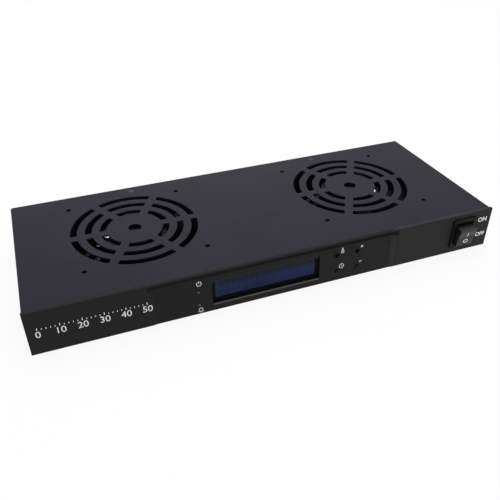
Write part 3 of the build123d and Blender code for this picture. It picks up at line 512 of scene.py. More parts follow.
@dataclass(frozen=True)
class Moulding(Finish):
    """Moulded plastic with a fine spark-eroded grain."""

    colour: tuple
    roughness: float = 0.45
    specular: float = 0.3
    grain: float = 0.35 * MM
    grain_depth: float = 0.006 * MM
    patch: float = 35 * MM
    patch_matt: float = 0.08
    grain_matt: float = 0.06
    variation: float = 0.25
    lift: float = 0.001

    def build(self) -> bpy.types.Material:
        """Make the material.

        Returns:
            The material, ready to dress a piece.
        """
        shade = Shade(self.name)
        cloud = shade.cloud(self.patch)
        grain = shade.noise(self.grain, detail=1.0)
        lighter = tinted(self.colour, 1 + self.variation, self.lift)
        return shade.finish({
            "Base Color": shade.mix(self.colour, lighter, cloud),
            "Roughness": self.roughness + self.patch_matt * cloud + self.grain_matt * grain,
            "Specular IOR Level": self.specular,
            "Normal": shade.bump(grain, self.grain_depth),
        })


@dataclass(frozen=True)
class FasciaMoulding(Finish):
    """Black moulding of the front with painted light: highlights on its right end, flank and sill, shade on
    its top edge and fold.

    A span holds four places along its axis: where it starts, is full, is last full, and ends.
    """

    node: str
    colour: tuple = paint(19, 19, 19)
    cloudy: tuple = paint(23, 23, 23)
    # Painted highlight along the upper edge of the right end.
    edge_highlight: tuple = paint(29, 28, 34)
    # Painted highlight on the recess's right flank, a wall that faces the light.
    flank_highlight: tuple = paint(45, 45, 45)
    # The right end painted lighter, for the light that it catches.
    end: tuple = paint(29, 29, 28)
    # Painted highlight on the window's sill, a ledge that faces up.
    sill_highlight: tuple = paint(88, 90, 86)
    recess_span: tuple = mm(-120.5, -120.0, 111.0, 111.5)
    fold_span: tuple = mm(33.9, 34.5, 40.1, 40.5)
    flank_start: tuple = mm(105.3, 107.3)
    end_start: tuple = mm(111.5, 112.5)
    window_span: tuple = mm(-66.0, -65.0, 33.0, 34.0)
    sill_span: tuple = mm(5.35, 5.45, 6.15, 6.2)
    sunk_start: tuple = mm(0.05, 0.3)
    edge_band_depth: float = 0.25 * MM
    # Shares of painted shade: on the upper edge outside the right end, and in the recess's fold, growing
    # towards its right.
    edge_painted_shade: float = 0.6
    left_painted_shade: float = 0.45
    added_painted_shade: float = 0.2
    roughness: float = 0.5
    specular: float = 0.15
    grain: float = 0.35 * MM
    grain_depth: float = 0.006 * MM
    patch: float = 35 * MM
    patch_matt: float = 0.08
    grain_matt: float = 0.06

    def build(self) -> bpy.types.Material:
        """Make the material.

        Returns:
            The material, ready to dress a piece.
        """
        shade = Shade(self.name)
        low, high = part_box(self.node)
        cloud = shade.cloud(self.patch)
        grain = shade.noise(self.grain, detail=1.0)
        x, y, z = (shade.axis(letter) for letter in "XYZ")
        edge = z.ramp(high.z - 2 * self.edge_band_depth, high.z - self.edge_band_depth)
        inside = x.band(*self.recess_span) * y.ramp(*(low.y + depth for depth in self.sunk_start))
        beyond = x.ramp(*self.end_start)
        # Painted shade in the recess's fold, under the top's overhanging edge.
        fold = inside * z.band(*self.fold_span)
        colour = shade.mix(self.colour, self.cloudy, cloud)
        # Painted light: the right end lighter than the rest.
        colour = shade.mix(colour, self.end, beyond)
        # Painted highlight on the right end's upper edge.
        colour = shade.mix(colour, self.edge_highlight, edge * beyond)
        # Painted highlight on the recess's right flank.
        colour = shade.mix(colour, self.flank_highlight, inside * x.ramp(*self.flank_start))
        # Painted shade, stronger from the recess's left end to its right.
        painted_shade = self.left_painted_shade + self.added_painted_shade * x.ramp(self.recess_span[0], self.recess_span[-1])
        return shade.finish({
            # Painted highlight along the window's sill.
            "Base Color": shade.mix(colour, self.sill_highlight, x.band(*self.window_span) * z.band(*self.sill_span)),
            "Roughness": self.roughness + self.patch_matt * cloud + self.grain_matt * grain,
            "Specular IOR Level": self.specular,
            "Normal": shade.bump(grain, self.grain_depth),
        # Painted shade: dull black on the fold and on the upper edge outside the right end.
        }, fold.larger(edge * (1.0 - beyond) * self.edge_painted_shade) * painted_shade)


@dataclass(frozen=True)
class Metal(Finish):
    """Bare or plated metal with faint drawing lines and clouded plating."""

    colour: tuple
    roughness: float = 0.32
    metallic: float = 1.0
    line: float = 0.25 * MM
    line_stretch: tuple = (1.0, 1.0, 6.0)
    line_depth: float = 0.003 * MM
    line_matt: float = 0.06
    patch: float = 6 * MM
    patch_matt: float = 0.14
    tarnish: float = 0.72

    def build(self) -> bpy.types.Material:
        """Make the material.

        Returns:
            The material, ready to dress a piece.
        """
        shade = Shade(self.name)
        cloud = shade.cloud(self.patch)
        lines = shade.noise(self.line, stretch=self.line_stretch)
        dull = tinted(self.colour, self.tarnish)
        return shade.finish({
            "Base Color": shade.mix(self.colour, dull, cloud),
            "Roughness": self.roughness + self.patch_matt * cloud + self.line_matt * lines,
            "Metallic": self.metallic,
            "Normal": shade.bump(lines, self.line_depth),
        })


@dataclass(frozen=True)
class CastPaint(Finish):
    """Painted casting whose surface is softly lumpy."""

    colour: tuple = paint(10, 10, 11)
    variation: float = 0.6
    lift: float = 0.002
    roughness: float = 0.48
    specular: float = 0.1
    lump: float = 1.6 * MM
    lump_noise: tuple = (0.4, 0.8)
    lump_depth: float = 0.05 * MM
    speck: float = 0.3 * MM
    speck_depth: float = 0.006 * MM
    speck_matt: float = 0.2

    def build(self) -> bpy.types.Material:
        """Make the material.

        Returns:
            The material, ready to dress a piece.
        """
        shade = Shade(self.name)
        lumps = shade.noise(self.lump, detail=3.0)
        specks = shade.noise(self.speck, detail=1.0)
        lighter = tinted(self.colour, 1 + self.variation, self.lift)
        coarse = shade.bump(lumps, self.lump_depth)
        return shade.finish({
            "Base Color": shade.mix(self.colour, lighter, lumps.ramp(*self.lump_noise)),
            "Roughness": self.roughness + self.speck_matt * specks,
            "Specular IOR Level": self.specular,
            "Normal": shade.bump(specks, self.speck_depth, coarse),
        })


@dataclass(frozen=True)
class Layered(Finish):
    """Stacked steel laminations or wound wire: fine lines across one axis."""

    colour: tuple
    groove: tuple
    pitch: float
    axis: str = "Z"
    metallic: float = 0.6
    roughness: float = 0.4
    crest: tuple = (0.1, 0.6)
    wander: float = 1.5
    wander_size: float = 3 * MM
    patch: float = 2 * MM
    patch_matt: float = 0.2

    def build(self) -> bpy.types.Material:
        """Make the material.

        Returns:
            The material, ready to dress a piece.
        """
        shade = Shade(self.name)
        turns = shade.axis(self.axis) * (2 * math.pi / self.pitch)
        turns = turns + self.wander * shade.noise(self.wander_size)
        lines = 0.5 + 0.5 * turns.sine()
        return shade.finish({
            "Base Color": shade.mix(self.groove, self.colour, lines.ramp(*self.crest)),
            "Roughness": self.roughness + self.patch_matt * shade.noise(self.patch),
            "Metallic": self.metallic,
            "Normal": shade.bump(lines, self.pitch / 4),
        })


@dataclass(frozen=True)
class CircuitBoard(Finish):
    """Solder mask over copper tracks on glass fibre."""

    mask: tuple = paint(20, 62, 40)
    track: tuple = paint(34, 92, 58)
    spacing: float = 6 * MM
    roughness: float = 0.32
    specular: float = 0.5
    weave: float = 0.4 * MM
    weave_matt: float = 0.12
    track_edge: tuple = (0.16, 0.1)
    track_depth: float = 0.03 * MM

    def build(self) -> bpy.types.Material:
        """Make the material.

        Returns:
            The material, ready to dress a piece.
        """
        shade = Shade(self.name)
        cells = shade.node("ShaderNodeTexVoronoi", {"distance": "MANHATTAN", "feature": "DISTANCE_TO_EDGE"},
                           {"Vector": shade.place, "Scale": 1 / self.spacing})
        tracks = cells.ramp(*self.track_edge)
        weave = shade.noise(self.weave, detail=1.0)
        return shade.finish({
            "Base Color": shade.mix(self.mask, self.track, tracks),
            "Roughness": self.roughness + self.weave_matt * weave,
            "Specular IOR Level": self.specular,
            "Normal": shade.bump(tracks, self.track_depth),
        })


@dataclass(frozen=True)
class DisplayFrame(Finish):
    """Black frame of the display, with painted light along its upper rail."""

    node: str
    colour: tuple = paint(7, 7, 10)
    # Painted light along the upper rail, which starts a little below the frame's top.
    painted_rail_light: tuple = paint(36, 39, 47)
    rail_light_start: tuple = mm(-4.0, -3.4)
    roughness: float = 0.5
    specular: float = 0.05
    grain: float = 0.35 * MM
    grain_depth: float = 0.004 * MM
    grain_matt: float = 0.1

    def build(self) -> bpy.types.Material:
        """Make the material.

        Returns:
            The material, ready to dress a piece.
        """
        shade = Shade(self.name)
        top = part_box(self.node)[1].z
        grain = shade.noise(self.grain, detail=1.0)
        # Painted light: the upper rail lighter.
        haze = shade.axis("Z").ramp(*(top + place for place in self.rail_light_start))
        return shade.finish({
            "Base Color": shade.mix(self.colour, self.painted_rail_light, haze),
            "Roughness": self.roughness + self.grain_matt * grain,
            "Specular IOR Level": self.specular,
            "Normal": shade.bump(grain, self.grain_depth),
        })


@dataclass(frozen=True)
class DisplayPane(Finish):
    """Unlit blue character display under a polarising film."""

    node: str
    deep: tuple = paint(18, 27, 60)
    bright: tuple = paint(23, 34, 71)
    # Painted shade: the pane greyer and dimmer towards its top.
    painted_top_shade: tuple = paint(22, 25, 30)
    coat: float = 0.1
    patch: float = 22 * MM
    patch_noise: float = 0.35
    fade_gaps: tuple = mm(1.0, 3.0)
    roughness: float = 0.22
    specular: float = 0.1
    coat_roughness: float = 0.08
    film: float = 0.9 * MM
    film_matt: float = 0.1
    film_stretch: tuple = (1.0, 1.0, 3.0)
    film_depth: float = 0.002 * MM

    def build(self) -> bpy.types.Material:
        """Make the material.

        Returns:
            The material, ready to dress a piece.
        """
        shade = Shade(self.name)
        cloud = shade.cloud(self.patch, self.patch_noise, detail=2.0)
        film = shade.noise(self.film, stretch=self.film_stretch)
        low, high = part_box(self.node)
        start, end = self.fade_gaps
        # Painted shade, from the pane's middle to near its top.
        fade = shade.axis("Z").ramp((low.z + high.z) / 2 + start, high.z - end)
        return shade.finish({
            "Base Color": shade.mix(shade.mix(self.deep, self.bright, cloud), self.painted_top_shade, fade),
            "Roughness": self.roughness + self.film_matt * film,
            "Specular IOR Level": self.specular,
            "Coat Weight": self.coat,
            "Coat Roughness": self.coat_roughness,
            "Normal": shade.bump(film, self.film_depth),
        })


@dataclass(frozen=True)
class TintedLens(Finish):
    """Tinted epoxy of an unlit lamp: dark, with a cloudy core."""

    colour: tuple
    core: tuple
    roughness: float = 0.12
    specular: float = 0.5
    clearness: float = 0.15
    coat: float = 0.4
    haze: float = 0.8 * MM
    haze_noise: tuple = (0.35, 0.6)
    haze_matt: float = 0.12
    haze_depth: float = 0.01 * MM

    def build(self) -> bpy.types.Material:
        """Make the material.

        Returns:
            The material, ready to dress a piece.
        """
        shade = Shade(self.name)
        haze = shade.noise(self.haze)
        return shade.finish({
            "Base Color": shade.mix(self.core, self.colour, haze.ramp(*self.haze_noise)),
            "Roughness": self.roughness + self.haze_matt * haze,
            "Specular IOR Level": self.specular,
            "Transmission Weight": self.clearness,
            "Coat Weight": self.coat,
            "Normal": shade.bump(haze, self.haze_depth),
        })


@dataclass(frozen=True)
class PrintedInk(Finish):
    """Screen-printed ink, thin where the mesh of the screen left it."""

    colour: tuple = paint(238, 238, 238)
    thin: tuple = paint(205, 205, 207)
    roughness: float = 0.42
    specular: float = 0.4
    screen: float = 0.22 * MM
    screen_noise: tuple = (0.3, 0.55)
    screen_matt: float = 0.2
    screen_depth: float = 0.004 * MM

    def build(self) -> bpy.types.Material:
        """Make the material.

        Returns:
            The material, ready to dress a piece.
        """
        shade = Shade(self.name)
        screen = shade.noise(self.screen)
        return shade.finish({
            "Base Color": shade.mix(self.thin, self.colour, screen.ramp(*self.screen_noise)),
            "Roughness": self.roughness + self.screen_matt * screen,
            "Specular IOR Level": self.specular,
            "Normal": shade.bump(screen, self.screen_depth),
        })


@dataclass(frozen=True)
class Glass(Finish):
    """Clear tube of the fuse."""

    tint: tuple = paint(214, 224, 222)
    streak: tuple = paint(190, 204, 200)
    roughness: float = 0.04
    clearness: float = 0.7
    ripple: float = 3 * MM
    ripple_matt: float = 0.05
    ripple_depth: float = 0.01 * MM

    def build(self) -> bpy.types.Material:
        """Make the material.

        Returns:
            The material, ready to dress a piece.
        """
        shade = Shade(self.name)
        ripple = shade.noise(self.ripple, detail=1.0)
        return shade.finish({
            "Base Color": shade.mix(self.tint, self.streak, ripple),
            "Roughness": self.roughness + self.ripple_matt * ripple,
            "Transmission Weight": self.clearness,
            "Normal": shade.bump(ripple, self.ripple_depth),
        })


FINISHES = (
    PowderCoat("cover_coat", "top_cover"),
    PowderCoat("base_coat", "base_tray"),
    FasciaMoulding("fascia_moulding", "front_fascia"),
    Moulding("switch_moulding", paint(7, 7, 8), roughness=0.35, specular=0.12, grain=0.5 * MM),
    Moulding("rocker_moulding", paint(17, 17, 18), roughness=0.32, specular=0.33, grain_depth=0.002 * MM),
    Moulding("button_moulding", paint(8, 8, 9), roughness=0.4, specular=0.12),
    Moulding("impeller_moulding", paint(6, 6, 7), roughness=0.4, specular=0.05, grain_depth=0.003 * MM),
    Moulding("inlet_moulding", paint(16, 16, 17), roughness=0.4, specular=0.4),
    Moulding("relay_moulding", paint(32, 66, 150), roughness=0.35),
    Moulding("terminal_moulding", paint(40, 120, 66), roughness=0.4),
    Moulding("capacitor_sleeve", paint(22, 24, 34), roughness=0.25, specular=0.5),
    Moulding("winding_tape", paint(196, 168, 60), roughness=0.35),
    Moulding("light_guide", paint(206, 210, 214), roughness=0.3),
    DisplayFrame("display_frame", "display_bezel"),
    Metal("clip_plate", paint(236, 237, 240), roughness=0.2, metallic=1.0),
    Metal("black_screw", paint(30, 30, 33), roughness=0.36, metallic=0.7),
    Metal("zinc_plate", paint(178, 182, 188)),
    Metal("tinned_brass", paint(196, 186, 150), roughness=0.28),
    Metal("bearing_steel", paint(172, 174, 178), roughness=0.22),
    Metal("rotor_steel", paint(120, 120, 124), roughness=0.35),
    CastPaint("cast_paint"),
    Layered("laminations", paint(96, 96, 100), paint(30, 30, 33), 0.5 * MM),
    Layered("copper_wire", paint(178, 98, 48), paint(86, 38, 18), 0.35 * MM, metallic=0.8),
    CircuitBoard("circuit_board"),
    DisplayPane("display_pane", "display_glass"),
    DisplayPane("dot_film", "display_glass", paint(21, 30, 65), paint(26, 38, 77), coat=0.0),
    TintedLens("green_lens", paint(6, 12, 8), paint(16, 30, 19)),
    TintedLens("red_lens", paint(14, 6, 6), paint(34, 15, 14)),
    PrintedInk("white_ink"),
    Glass("fuse_glass"),
)

NODE_FINISH = {
    "top_cover": "cover_coat", "base_tray": "base_coat", "front_fascia": "fascia_moulding",
    "fascia_screws": "zinc_plate", "cover_screws": "black_screw", "ear_inserts": "zinc_plate",
    "fan_screws": "black_screw", "fan_nuts": "zinc_plate", "display_bezel": "display_frame",
    "display_glass": "display_pane", "display_backlight": "light_guide", "front_board": "circuit_board",
    "board_spacers": "tinned_brass", "front_board_screws": "zinc_plate", "power_light": "green_lens",
    "alarm_light": "red_lens", "temperature_button": "button_moulding", "clock_button": "button_moulding",
    "plus_button": "button_moulding", "minus_button": "button_moulding",
    "button_switches": "button_moulding", "rocker_housing": "switch_moulding",
    "power_rocker": "rocker_moulding", "rocker_terminals": "tinned_brass",
    "control_board": "circuit_board", "board_standoffs": "tinned_brass", "board_screws": "zinc_plate",
    "standoff_screws": "black_screw", "transformer_core": "laminations",
    "transformer_winding": "winding_tape", "relays": "relay_moulding", "capacitors": "capacitor_sleeve",
    "terminal_block": "terminal_moulding", "fuse": "fuse_glass", "fuse_clips": "tinned_brass",
    "inlet_body": "inlet_moulding", "inlet_pins": "tinned_brass", "inlet_screws": "black_screw",
    "inlet_nuts": "zinc_plate", "probe_socket": "tinned_brass", "probe_nut": "tinned_brass",
}
FAN_FINISH = {
    "frame": "cast_paint", "bearings": "bearing_steel", "stator": "laminations",
    "windings": "copper_wire", "shaft": "bearing_steel", "rotor_cage": "laminations",
    "rotor_cup": "rotor_steel", "impeller": "impeller_moulding",
}


class Body(Enum):
    """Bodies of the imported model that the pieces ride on."""

    TRAY = "tray"
    LEFT_ROTOR = "left_rotor"
    RIGHT_ROTOR = "right_rotor"
    ROCKER = "rocker"


def clusters(node: str, reach: float = 8 * MM) -> list[tuple[Vector, Vector]]:
    """Boxes of the separate solids in a node of the model.

    Args:
        node: the node's name.
        reach: how far a solid's points lie from its first one at most.

    Returns:
        Lowest and highest corner of each solid.
    """
    found = []
    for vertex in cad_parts[node].data.vertices:
        point = vertex.co
        for group in found:
            if (group[0] - point).length < 2 * reach:
                group.append(point)
                break
        else:
            found.append([point])
    return [(Vector(map(min, zip(*group))), Vector(map(max, zip(*group)))) for group in found]


class Workshop:
    """Materials and the way in which a piece is finished."""

    def __init__(self) -> None:
        """Build every finish once."""
        self.materials = {finish.name: finish.build() for finish in FINISHES}

    def dress_nodes(self) -> None:
        """Give each node of the model its material."""
        wanted = dict(NODE_FINISH)
        for side in ("left", "right"):
            for part, finish in FAN_FINISH.items():
                wanted[f"{side}_fan_{part}"] = finish
        for name, finish in wanted.items():
            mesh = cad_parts[name].data
            mesh.materials.clear()
            mesh.materials.append(self.materials[finish])
        log.info("dressed %d nodes", len(wanted))

    def settle(self, source: bpy.types.Object, name: str, finish: str, body: Body,
               place: Matrix = Matrix.Identity(4)) -> bpy.types.Object:
        """Turn a working object into a finished piece.

        Args:
            source: a mesh, curve or text object, modifiers included; it is removed.
            name: the piece's name.
            finish: name of its material.
            body: the body that it rides on.
            place: where its mesh goes.

        Returns:
            The piece, with its place in its mesh.
        """
        bpy.context.view_layer.update()
        graph = bpy.context.evaluated_depsgraph_get()
        mesh = bpy.data.meshes.new_from_object(source.evaluated_get(graph))
        bpy.data.objects.remove(source)
        mesh.name = name
        mesh.transform(place)
        mesh.materials.clear()
        mesh.materials.append(self.materials[finish])
        piece = linked(name, mesh)
        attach(piece, body.value)
        log.info("%s: %d faces", name, len(mesh.polygons))
        return piece


class Drive(Enum):
    """Which way a node's screws are driven in. The value is the way their heads face."""

    UP = (0.0, 0.0, -1.0)
    FORWARD = (0.0, 1.0, 0.0)
    INWARD = None


@dataclass
class ScrewSet:
    """Countersunk screws with a tapered cross drive, one piece for a node of the model.

    The drive is two crossing wings. Their radii and span are shares of the head's width, and the second
    goes a little deeper, so that no two of their faces lie in one plane.
    """

    shop: Workshop
    node: str
    drive: Drive
    thread: float
    head: float
    length: float
    finish: str = "black_screw"
    rise: float = 1.3 * MM
    rim: float = 0.25 * MM
    drive_width: float = 0.75 * MM
    drive_depth: float = 0.9 * MM
    wing_top: float = 0.34
    wing_foot: float = 0.1
    wing_span: float = 0.6
    second_wing: float = 1.04
    facets: int = 32
    seed: int = 7

    def places(self) -> tuple[list, list]:
        """Where the screws of the node sit.

        Returns:
            Middle of each head, and the way each faces.
        """
        points, axes = [], []
        for low, high in clusters(self.node):
            middle = (low + high) / 2
            size = high - low
            axis = self.drive.value
            if axis is None:
                flat = size.z < size.x - self.rim
                axis = (math.copysign(1.0, middle.x), 0.0, 0.0) if flat else (0.0, 0.0, 1.0)
            axis = Vector(axis)
            points.append(middle + axis * (abs(size.dot(axis)) / 2))
            axes.append(axis)
        return points, axes

    def shape(self) -> Shape:
        """Tree of one screw repeated on the source's points.

        Its rod is a cylinder of three even steps, which become the thread, the flare and the rim.

        Returns:
            The closed tree.
        """
        shape = Shape(self.node + "_shape", {
            "Thread": self.thread, "Head": self.head, "Rise": self.rise, "Rim": self.rim,
            "Length": self.length, "Drive width": self.drive_width, "Drive depth": self.drive_depth,
            "Seed": self.seed})
        head, rise, rim = shape["Head"], shape["Rise"], shape["Rim"]
        rod = shape.node("GeometryNodeMeshCylinder", None,
                         {"Vertices": self.facets, "Side Segments": 3, "Radius": 1.0, "Depth": 3.0})
        x, y, z = shape.place()
        flare = z.ramp(-0.5, 0.5)
        radius = shape["Thread"] / 2 + (head - shape["Thread"]) / 2 * flare
        height = ((shape["Length"] - rise) * z.ramp(-1.5, -0.5) + (rise - rim) * flare
                  + rim * z.ramp(0.5, 1.5) - shape["Length"])
        solid = shape.node("GeometryNodeSetPosition", None,
                           {"Geometry": rod, "Position": shape.vector(x * radius, y * radius, height)})
        wing = shape.node("GeometryNodeMeshCone", None, {
            "Vertices": 4, "Radius Top": head * self.wing_top, "Radius Bottom": head * self.wing_foot,
            "Depth": shape["Drive depth"] * 2})
        wing = shape.moved(wing, shape.vector(0.0, 0.0, 0.0 - shape["Drive depth"]))
        thin = shape["Drive width"] / (head * self.wing_span)
        for scale in ((1.0, thin, 1.0), (thin, 1.0, self.second_wing)):
            cut = shape.node("GeometryNodeTransform", None, {"Geometry": wing, "Scale": shape.vector(*scale)})
            solid = shape.node("GeometryNodeMeshBoolean", {"operation": "DIFFERENCE"},
                               {"Mesh 1": solid, "Mesh 2": cut})
        axis = shape.node("GeometryNodeInputNamedAttribute", {"data_type": "FLOAT_VECTOR"}, {"Name": "axis"},
                          "Attribute")
        turn = shape.node("FunctionNodeRandomValue", {"data_type": "FLOAT"},
                          {2: 0.0, 3: math.pi / 2, "Seed": shape["Seed"]}, 1)
        spin = shape.node("FunctionNodeEulerToRotation", None, {"Euler": shape.vector(0.0, 0.0, turn)})
        facing = shape.node("FunctionNodeAlignRotationToVector", {"axis": "Z"}, {"Vector": axis})
        facing = shape.node("FunctionNodeRotateRotation", {"rotation_space": "LOCAL"},
                            {"Rotation": facing, "Rotate By": spin})
        shape.close(shape.copies(shape["Geometry"], solid, facing))
        return shape

    def build(self) -> None:
        """Make the screws in place of the node."""
        points, axes = self.places()
        source = self.shape().make(self.shop.materials[self.finish], points, axes)
        piece = self.shop.settle(source, self.node + "_crossed", self.finish, Body.TRAY)
        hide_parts(self.node)


@dataclass
class Impeller:
    """Impeller of one fan: twisted, bowed and swept blades round a hub with a rolled rim."""

    shop: Workshop
    side: str
    body: Body
    turn: float = 0.0
    blades: int = 5
    hub_radius: float = 29.54 * MM
    hub_wall: float = 3.0 * MM
    lip: float = 8.0 * MM
    lip_height: float = 1.45 * MM
    root: float = 28.0 * MM
    tip: float = 56.7 * MM
    base: float = 7.0 * MM
    top: float = 36.0 * MM
    end_gap: float = 2.3 * MM
    mid_drop: float = 1.0 * MM
    root_pitch: float = math.radians(51.0)
    tip_pitch: float = math.radians(31.0)
    root_thick: float = 2.3 * MM
    tip_thick: float = 1.5 * MM
    camber: float = 0.09
    sweep: float = math.radians(10.0)
    chord_points: int = 25
    span_points: int = 13
    edge_taper: float = 8 / 3
    hub_corner: float = 1.3 * MM
    lip_inset: float = 1.5 * MM
    lip_corner: float = 0.4 * MM
    clip_size: tuple = mm(4.0, 2.9, 0.6)
    clip_corner: float = 0.6 * MM
    clip_gap: float = 0.4 * MM
    clip_facing: tuple = (-0.29, -0.77, 0.57)

    def blade(self, shape: Shape) -> Wire:
        """One blade, bent out of a fine block.

        Args:
            shape: the tree that it is made in.

        Returns:
            Its mesh.
        """
        block = shape.node("GeometryNodeMeshCube", None,
                           {"Vertices X": self.chord_points, "Vertices Y": self.span_points})
        chordwise, spanwise, layer = shape.place()
        out = spanwise + 0.5
        radius, pitch, thick = (
            shape[f"Root {size}"] + (shape[f"Tip {size}"] - shape[f"Root {size}"]) * out
            for size in ("radius", "pitch", "thickness"))
        chord = shape["Rise"] / pitch.sine()
        along = chordwise * chord
        squared = chordwise * chordwise
        bow = 4.0 * shape["Camber"] * chord * (0.25 - squared)
        lift = bow + layer * thick * (1.0 - self.edge_taper * squared)
        across = along * pitch.cosine() - lift * pitch.sine()
        height = shape["Middle height"] + along * pitch.sine() + lift * pitch.cosine()
        depth = (radius * radius - across * across).root()
        swing = shape["Sweep"] * out
        x = depth * swing.cosine() - across * swing.sine()
        y = depth * swing.sine() + across * swing.cosine()
        return shape.node("GeometryNodeSetPosition", None,
                          {"Geometry": block, "Position": shape.vector(x, y, height)})

    def shape(self) -> Shape:
        """Tree of the whole impeller round the Z axis.

        Returns:
            The closed tree.
        """
        shape = Shape(f"{self.side}_impeller_shape", {
            "Blades": self.blades, "Hub radius": self.hub_radius, "Hub wall": self.hub_wall,
            "Lip": self.lip, "Lip height": self.lip_height, "Base": self.base, "Top": self.top,
            "Root radius": self.root, "Tip radius": self.tip, "Root pitch": self.root_pitch,
            "Tip pitch": self.tip_pitch, "Root thickness": self.root_thick, "Tip thickness": self.tip_thick,
            "Camber": self.camber, "Sweep": self.sweep,
            "Rise": self.top - self.base - 2 * self.end_gap,
            "Middle height": (self.top + self.base) / 2 - self.mid_drop})
        count = shape["Blades"]
        line = shape.node("GeometryNodeMeshLine", None, {"Count": count, "Offset": (0.0, 0.0, 0.0)})
        step = shape.index() * (2 * math.pi) / count
        blades = shape.copies(line, self.blade(shape), shape.vector(0.0, 0.0, step))
        wall, high = shape["Hub wall"], shape["Top"] - shape["Base"]
        hub = shape.ring(shape["Hub radius"] - wall / 2, wall, high, self.hub_corner)
        hub = shape.moved(hub, shape.vector(0.0, 0.0, shape["Base"] + high / 2))
        middle = shape["Hub radius"] - self.lip_inset - shape["Lip"] / 2
        lip = shape.ring(middle, shape["Lip"], shape["Lip height"], self.lip_corner)
        lip = shape.moved(lip, shape.vector(0.0, 0.0, shape["Top"] - shape["Lip height"] / 2))
        shape.close(shape.node("GeometryNodeJoinGeometry", None, {"Geometry": [blades, hub, lip]}))
        return shape

    def centre(self) -> Vector:
        """Foot of the fan's axis.

        Returns:
            The point of the axis that is level with the fan frame's underside.
        """
        low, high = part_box(f"{self.side}_fan_shaft")
        frame_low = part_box(f"{self.side}_fan_frame")[0]
        return Vector(((low.x + high.x) / 2, (low.y + high.y) / 2, frame_low.z))

    def build(self) -> None:
        """Make the impeller in place of the model's plainer one."""
        place = Matrix.Translation(self.centre()) @ Matrix.Rotation(self.turn, 4, "Z")
        source = self.shape().make(self.shop.materials["impeller_moulding"])
        name = f"{self.side}_impeller_bladed"
        piece = self.shop.settle(source, name, "impeller_moulding", self.body, place)
        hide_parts(f"{self.side}_fan_impeller")

    def clip(self, x: float, y: float) -> None:
        """Add a balance clip over the hub's top: a small flat plate, tilted up towards the front.

        Args:
            x: how far right of the axis it sits.
            y: how far behind the axis it sits.
        """
        sizes = dict(zip(("Width", "Depth", "Thickness"), self.clip_size))
        shape = Shape(f"{self.side}_clip_shape", sizes)
        shape.close(shape.plate(*(shape[size] for size in sizes), self.clip_corner))
        spot = self.centre() + Vector((x, y, self.top + self.clip_gap))
        bend = Vector(self.clip_facing).to_track_quat("Z", "Y").to_matrix().to_4x4()
        place = Matrix.Translation(spot) @ bend
        source = shape.make(self.shop.materials["clip_plate"])
        self.shop.settle(source, f"{self.side}_balance_clip", "clip_plate", self.body, place)


@dataclass
class CharacterCells:
    """Dots of the unlit character display, seen faintly in its glass."""

    shop: Workshop
    columns: int = 16
    rows: int = 2
    dots_wide: int = 5
    dots_high: int = 8
    dot: float = 0.82 * MM
    pitch: float = 0.9 * MM
    column_gap: float = 1.0 * MM
    row_gap: float = 1.4 * MM
    thickness: float = 0.02 * MM

    def build(self) -> None:
        """Make the dots on the glass."""
        across, up = self.columns * self.dots_wide, self.rows * self.dots_high
        shape = Shape("character_cells_shape", {
            "Dots across": across, "Dots up": up, "Dots per column": self.dots_wide,
            "Dots per row": self.dots_high, "Dot": self.dot, "Pitch": self.pitch,
            "Column gap": self.column_gap, "Row gap": self.row_gap, "Thickness": self.thickness})
        grid = shape.node("GeometryNodeMeshGrid", None, {
            "Size X": 1.0, "Size Y": 1.0, "Vertices X": shape["Dots across"], "Vertices Y": shape["Dots up"]})
        x, y, _ = shape.place()
        places = []
        for value, count, group, gap in ((x, "Dots across", "Dots per column", "Column gap"),
                                         (y, "Dots up", "Dots per row", "Row gap")):
            last = shape[count] - 1.0
            number = ((value + 0.5) * last + 0.5).floor()
            groups = shape[count] / shape[group]
            whole = last * shape["Pitch"] + (groups - 1.0) * shape[gap]
            places.append(number * shape["Pitch"] + ((number + 0.1) / shape[group]).floor() * shape[gap]
                          - whole / 2)
        grid = shape.node("GeometryNodeSetPosition", None,
                          {"Geometry": grid, "Position": shape.vector(places[0], places[1], 0.0)})
        dot = shape.plate(shape["Dot"], shape["Dot"], shape["Thickness"], 0.0)
        shape.close(shape.copies(grid, dot))
        low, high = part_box("display_glass")
        middle = (low + high) / 2
        place = FrontFace(low.y, 0.0).flush(middle.x, middle.z)
        source = shape.make(self.shop.materials["dot_film"])
        self.shop.settle(source, "character_cells", "dot_film", Body.TRAY, place)


@dataclass
class FrontFace:
    """Planes of the fascia, in metres: the flush ends and the leaning face of the recess."""

    front: float
    height: float
    depth_top: float = 4.0 * MM
    depth_bottom: float = 1.0 * MM
    lip: float = 7.0 * MM
    lift: float = 0.02 * MM

    def flush(self, x: float, z: float) -> Matrix:
        """Frame on the flush ends, whose X runs right, Y up and Z out of the face."""
        return self.frame(Vector((x, self.front, z)), 0.0)

    def recessed(self, x: float, z: float) -> Matrix:
        """Frame on the recess's leaning face, turned like a flush one."""
        slope = (self.depth_top - self.depth_bottom) / (self.height - self.lip)
        return self.frame(Vector((x, self.front + self.depth_bottom + slope * z, z)), slope)

    def frame(self, origin: Vector, slope: float) -> Matrix:
        """Frame on a plane that leans back by a slope.

        Args:
            origin: a point on the plane.
            slope: how far the plane goes back for each metre up.

        Returns:
            The frame, lifted off the plane by the ink's own gap.
        """
        up = Vector((0.0, slope, 1.0)).normalized()
        right = Vector((1.0, 0.0, 0.0))
        out = right.cross(up)
        turn = Matrix((right, up, out)).transposed().to_4x4()
        return Matrix.Translation(origin + out * self.lift) @ turn


def arc(radius: float, start: float, end: float, steps: int = 24, centre: tuple = (0.0, 0.0)) -> list:
    """Points of a round stretch between two angles in degrees."""
    angles = [math.radians(start + (end - start) * i / steps) for i in range(steps + 1)]
    return [(centre[0] + radius * math.cos(a), centre[1] + radius * math.sin(a)) for a in angles]


@dataclass(frozen=True)
class Sign:
    """A sign on the recess, in millimetres: its place below the top, line width and lines."""

    name: str
    x: float
    drop: float
    width: float
    paths: tuple


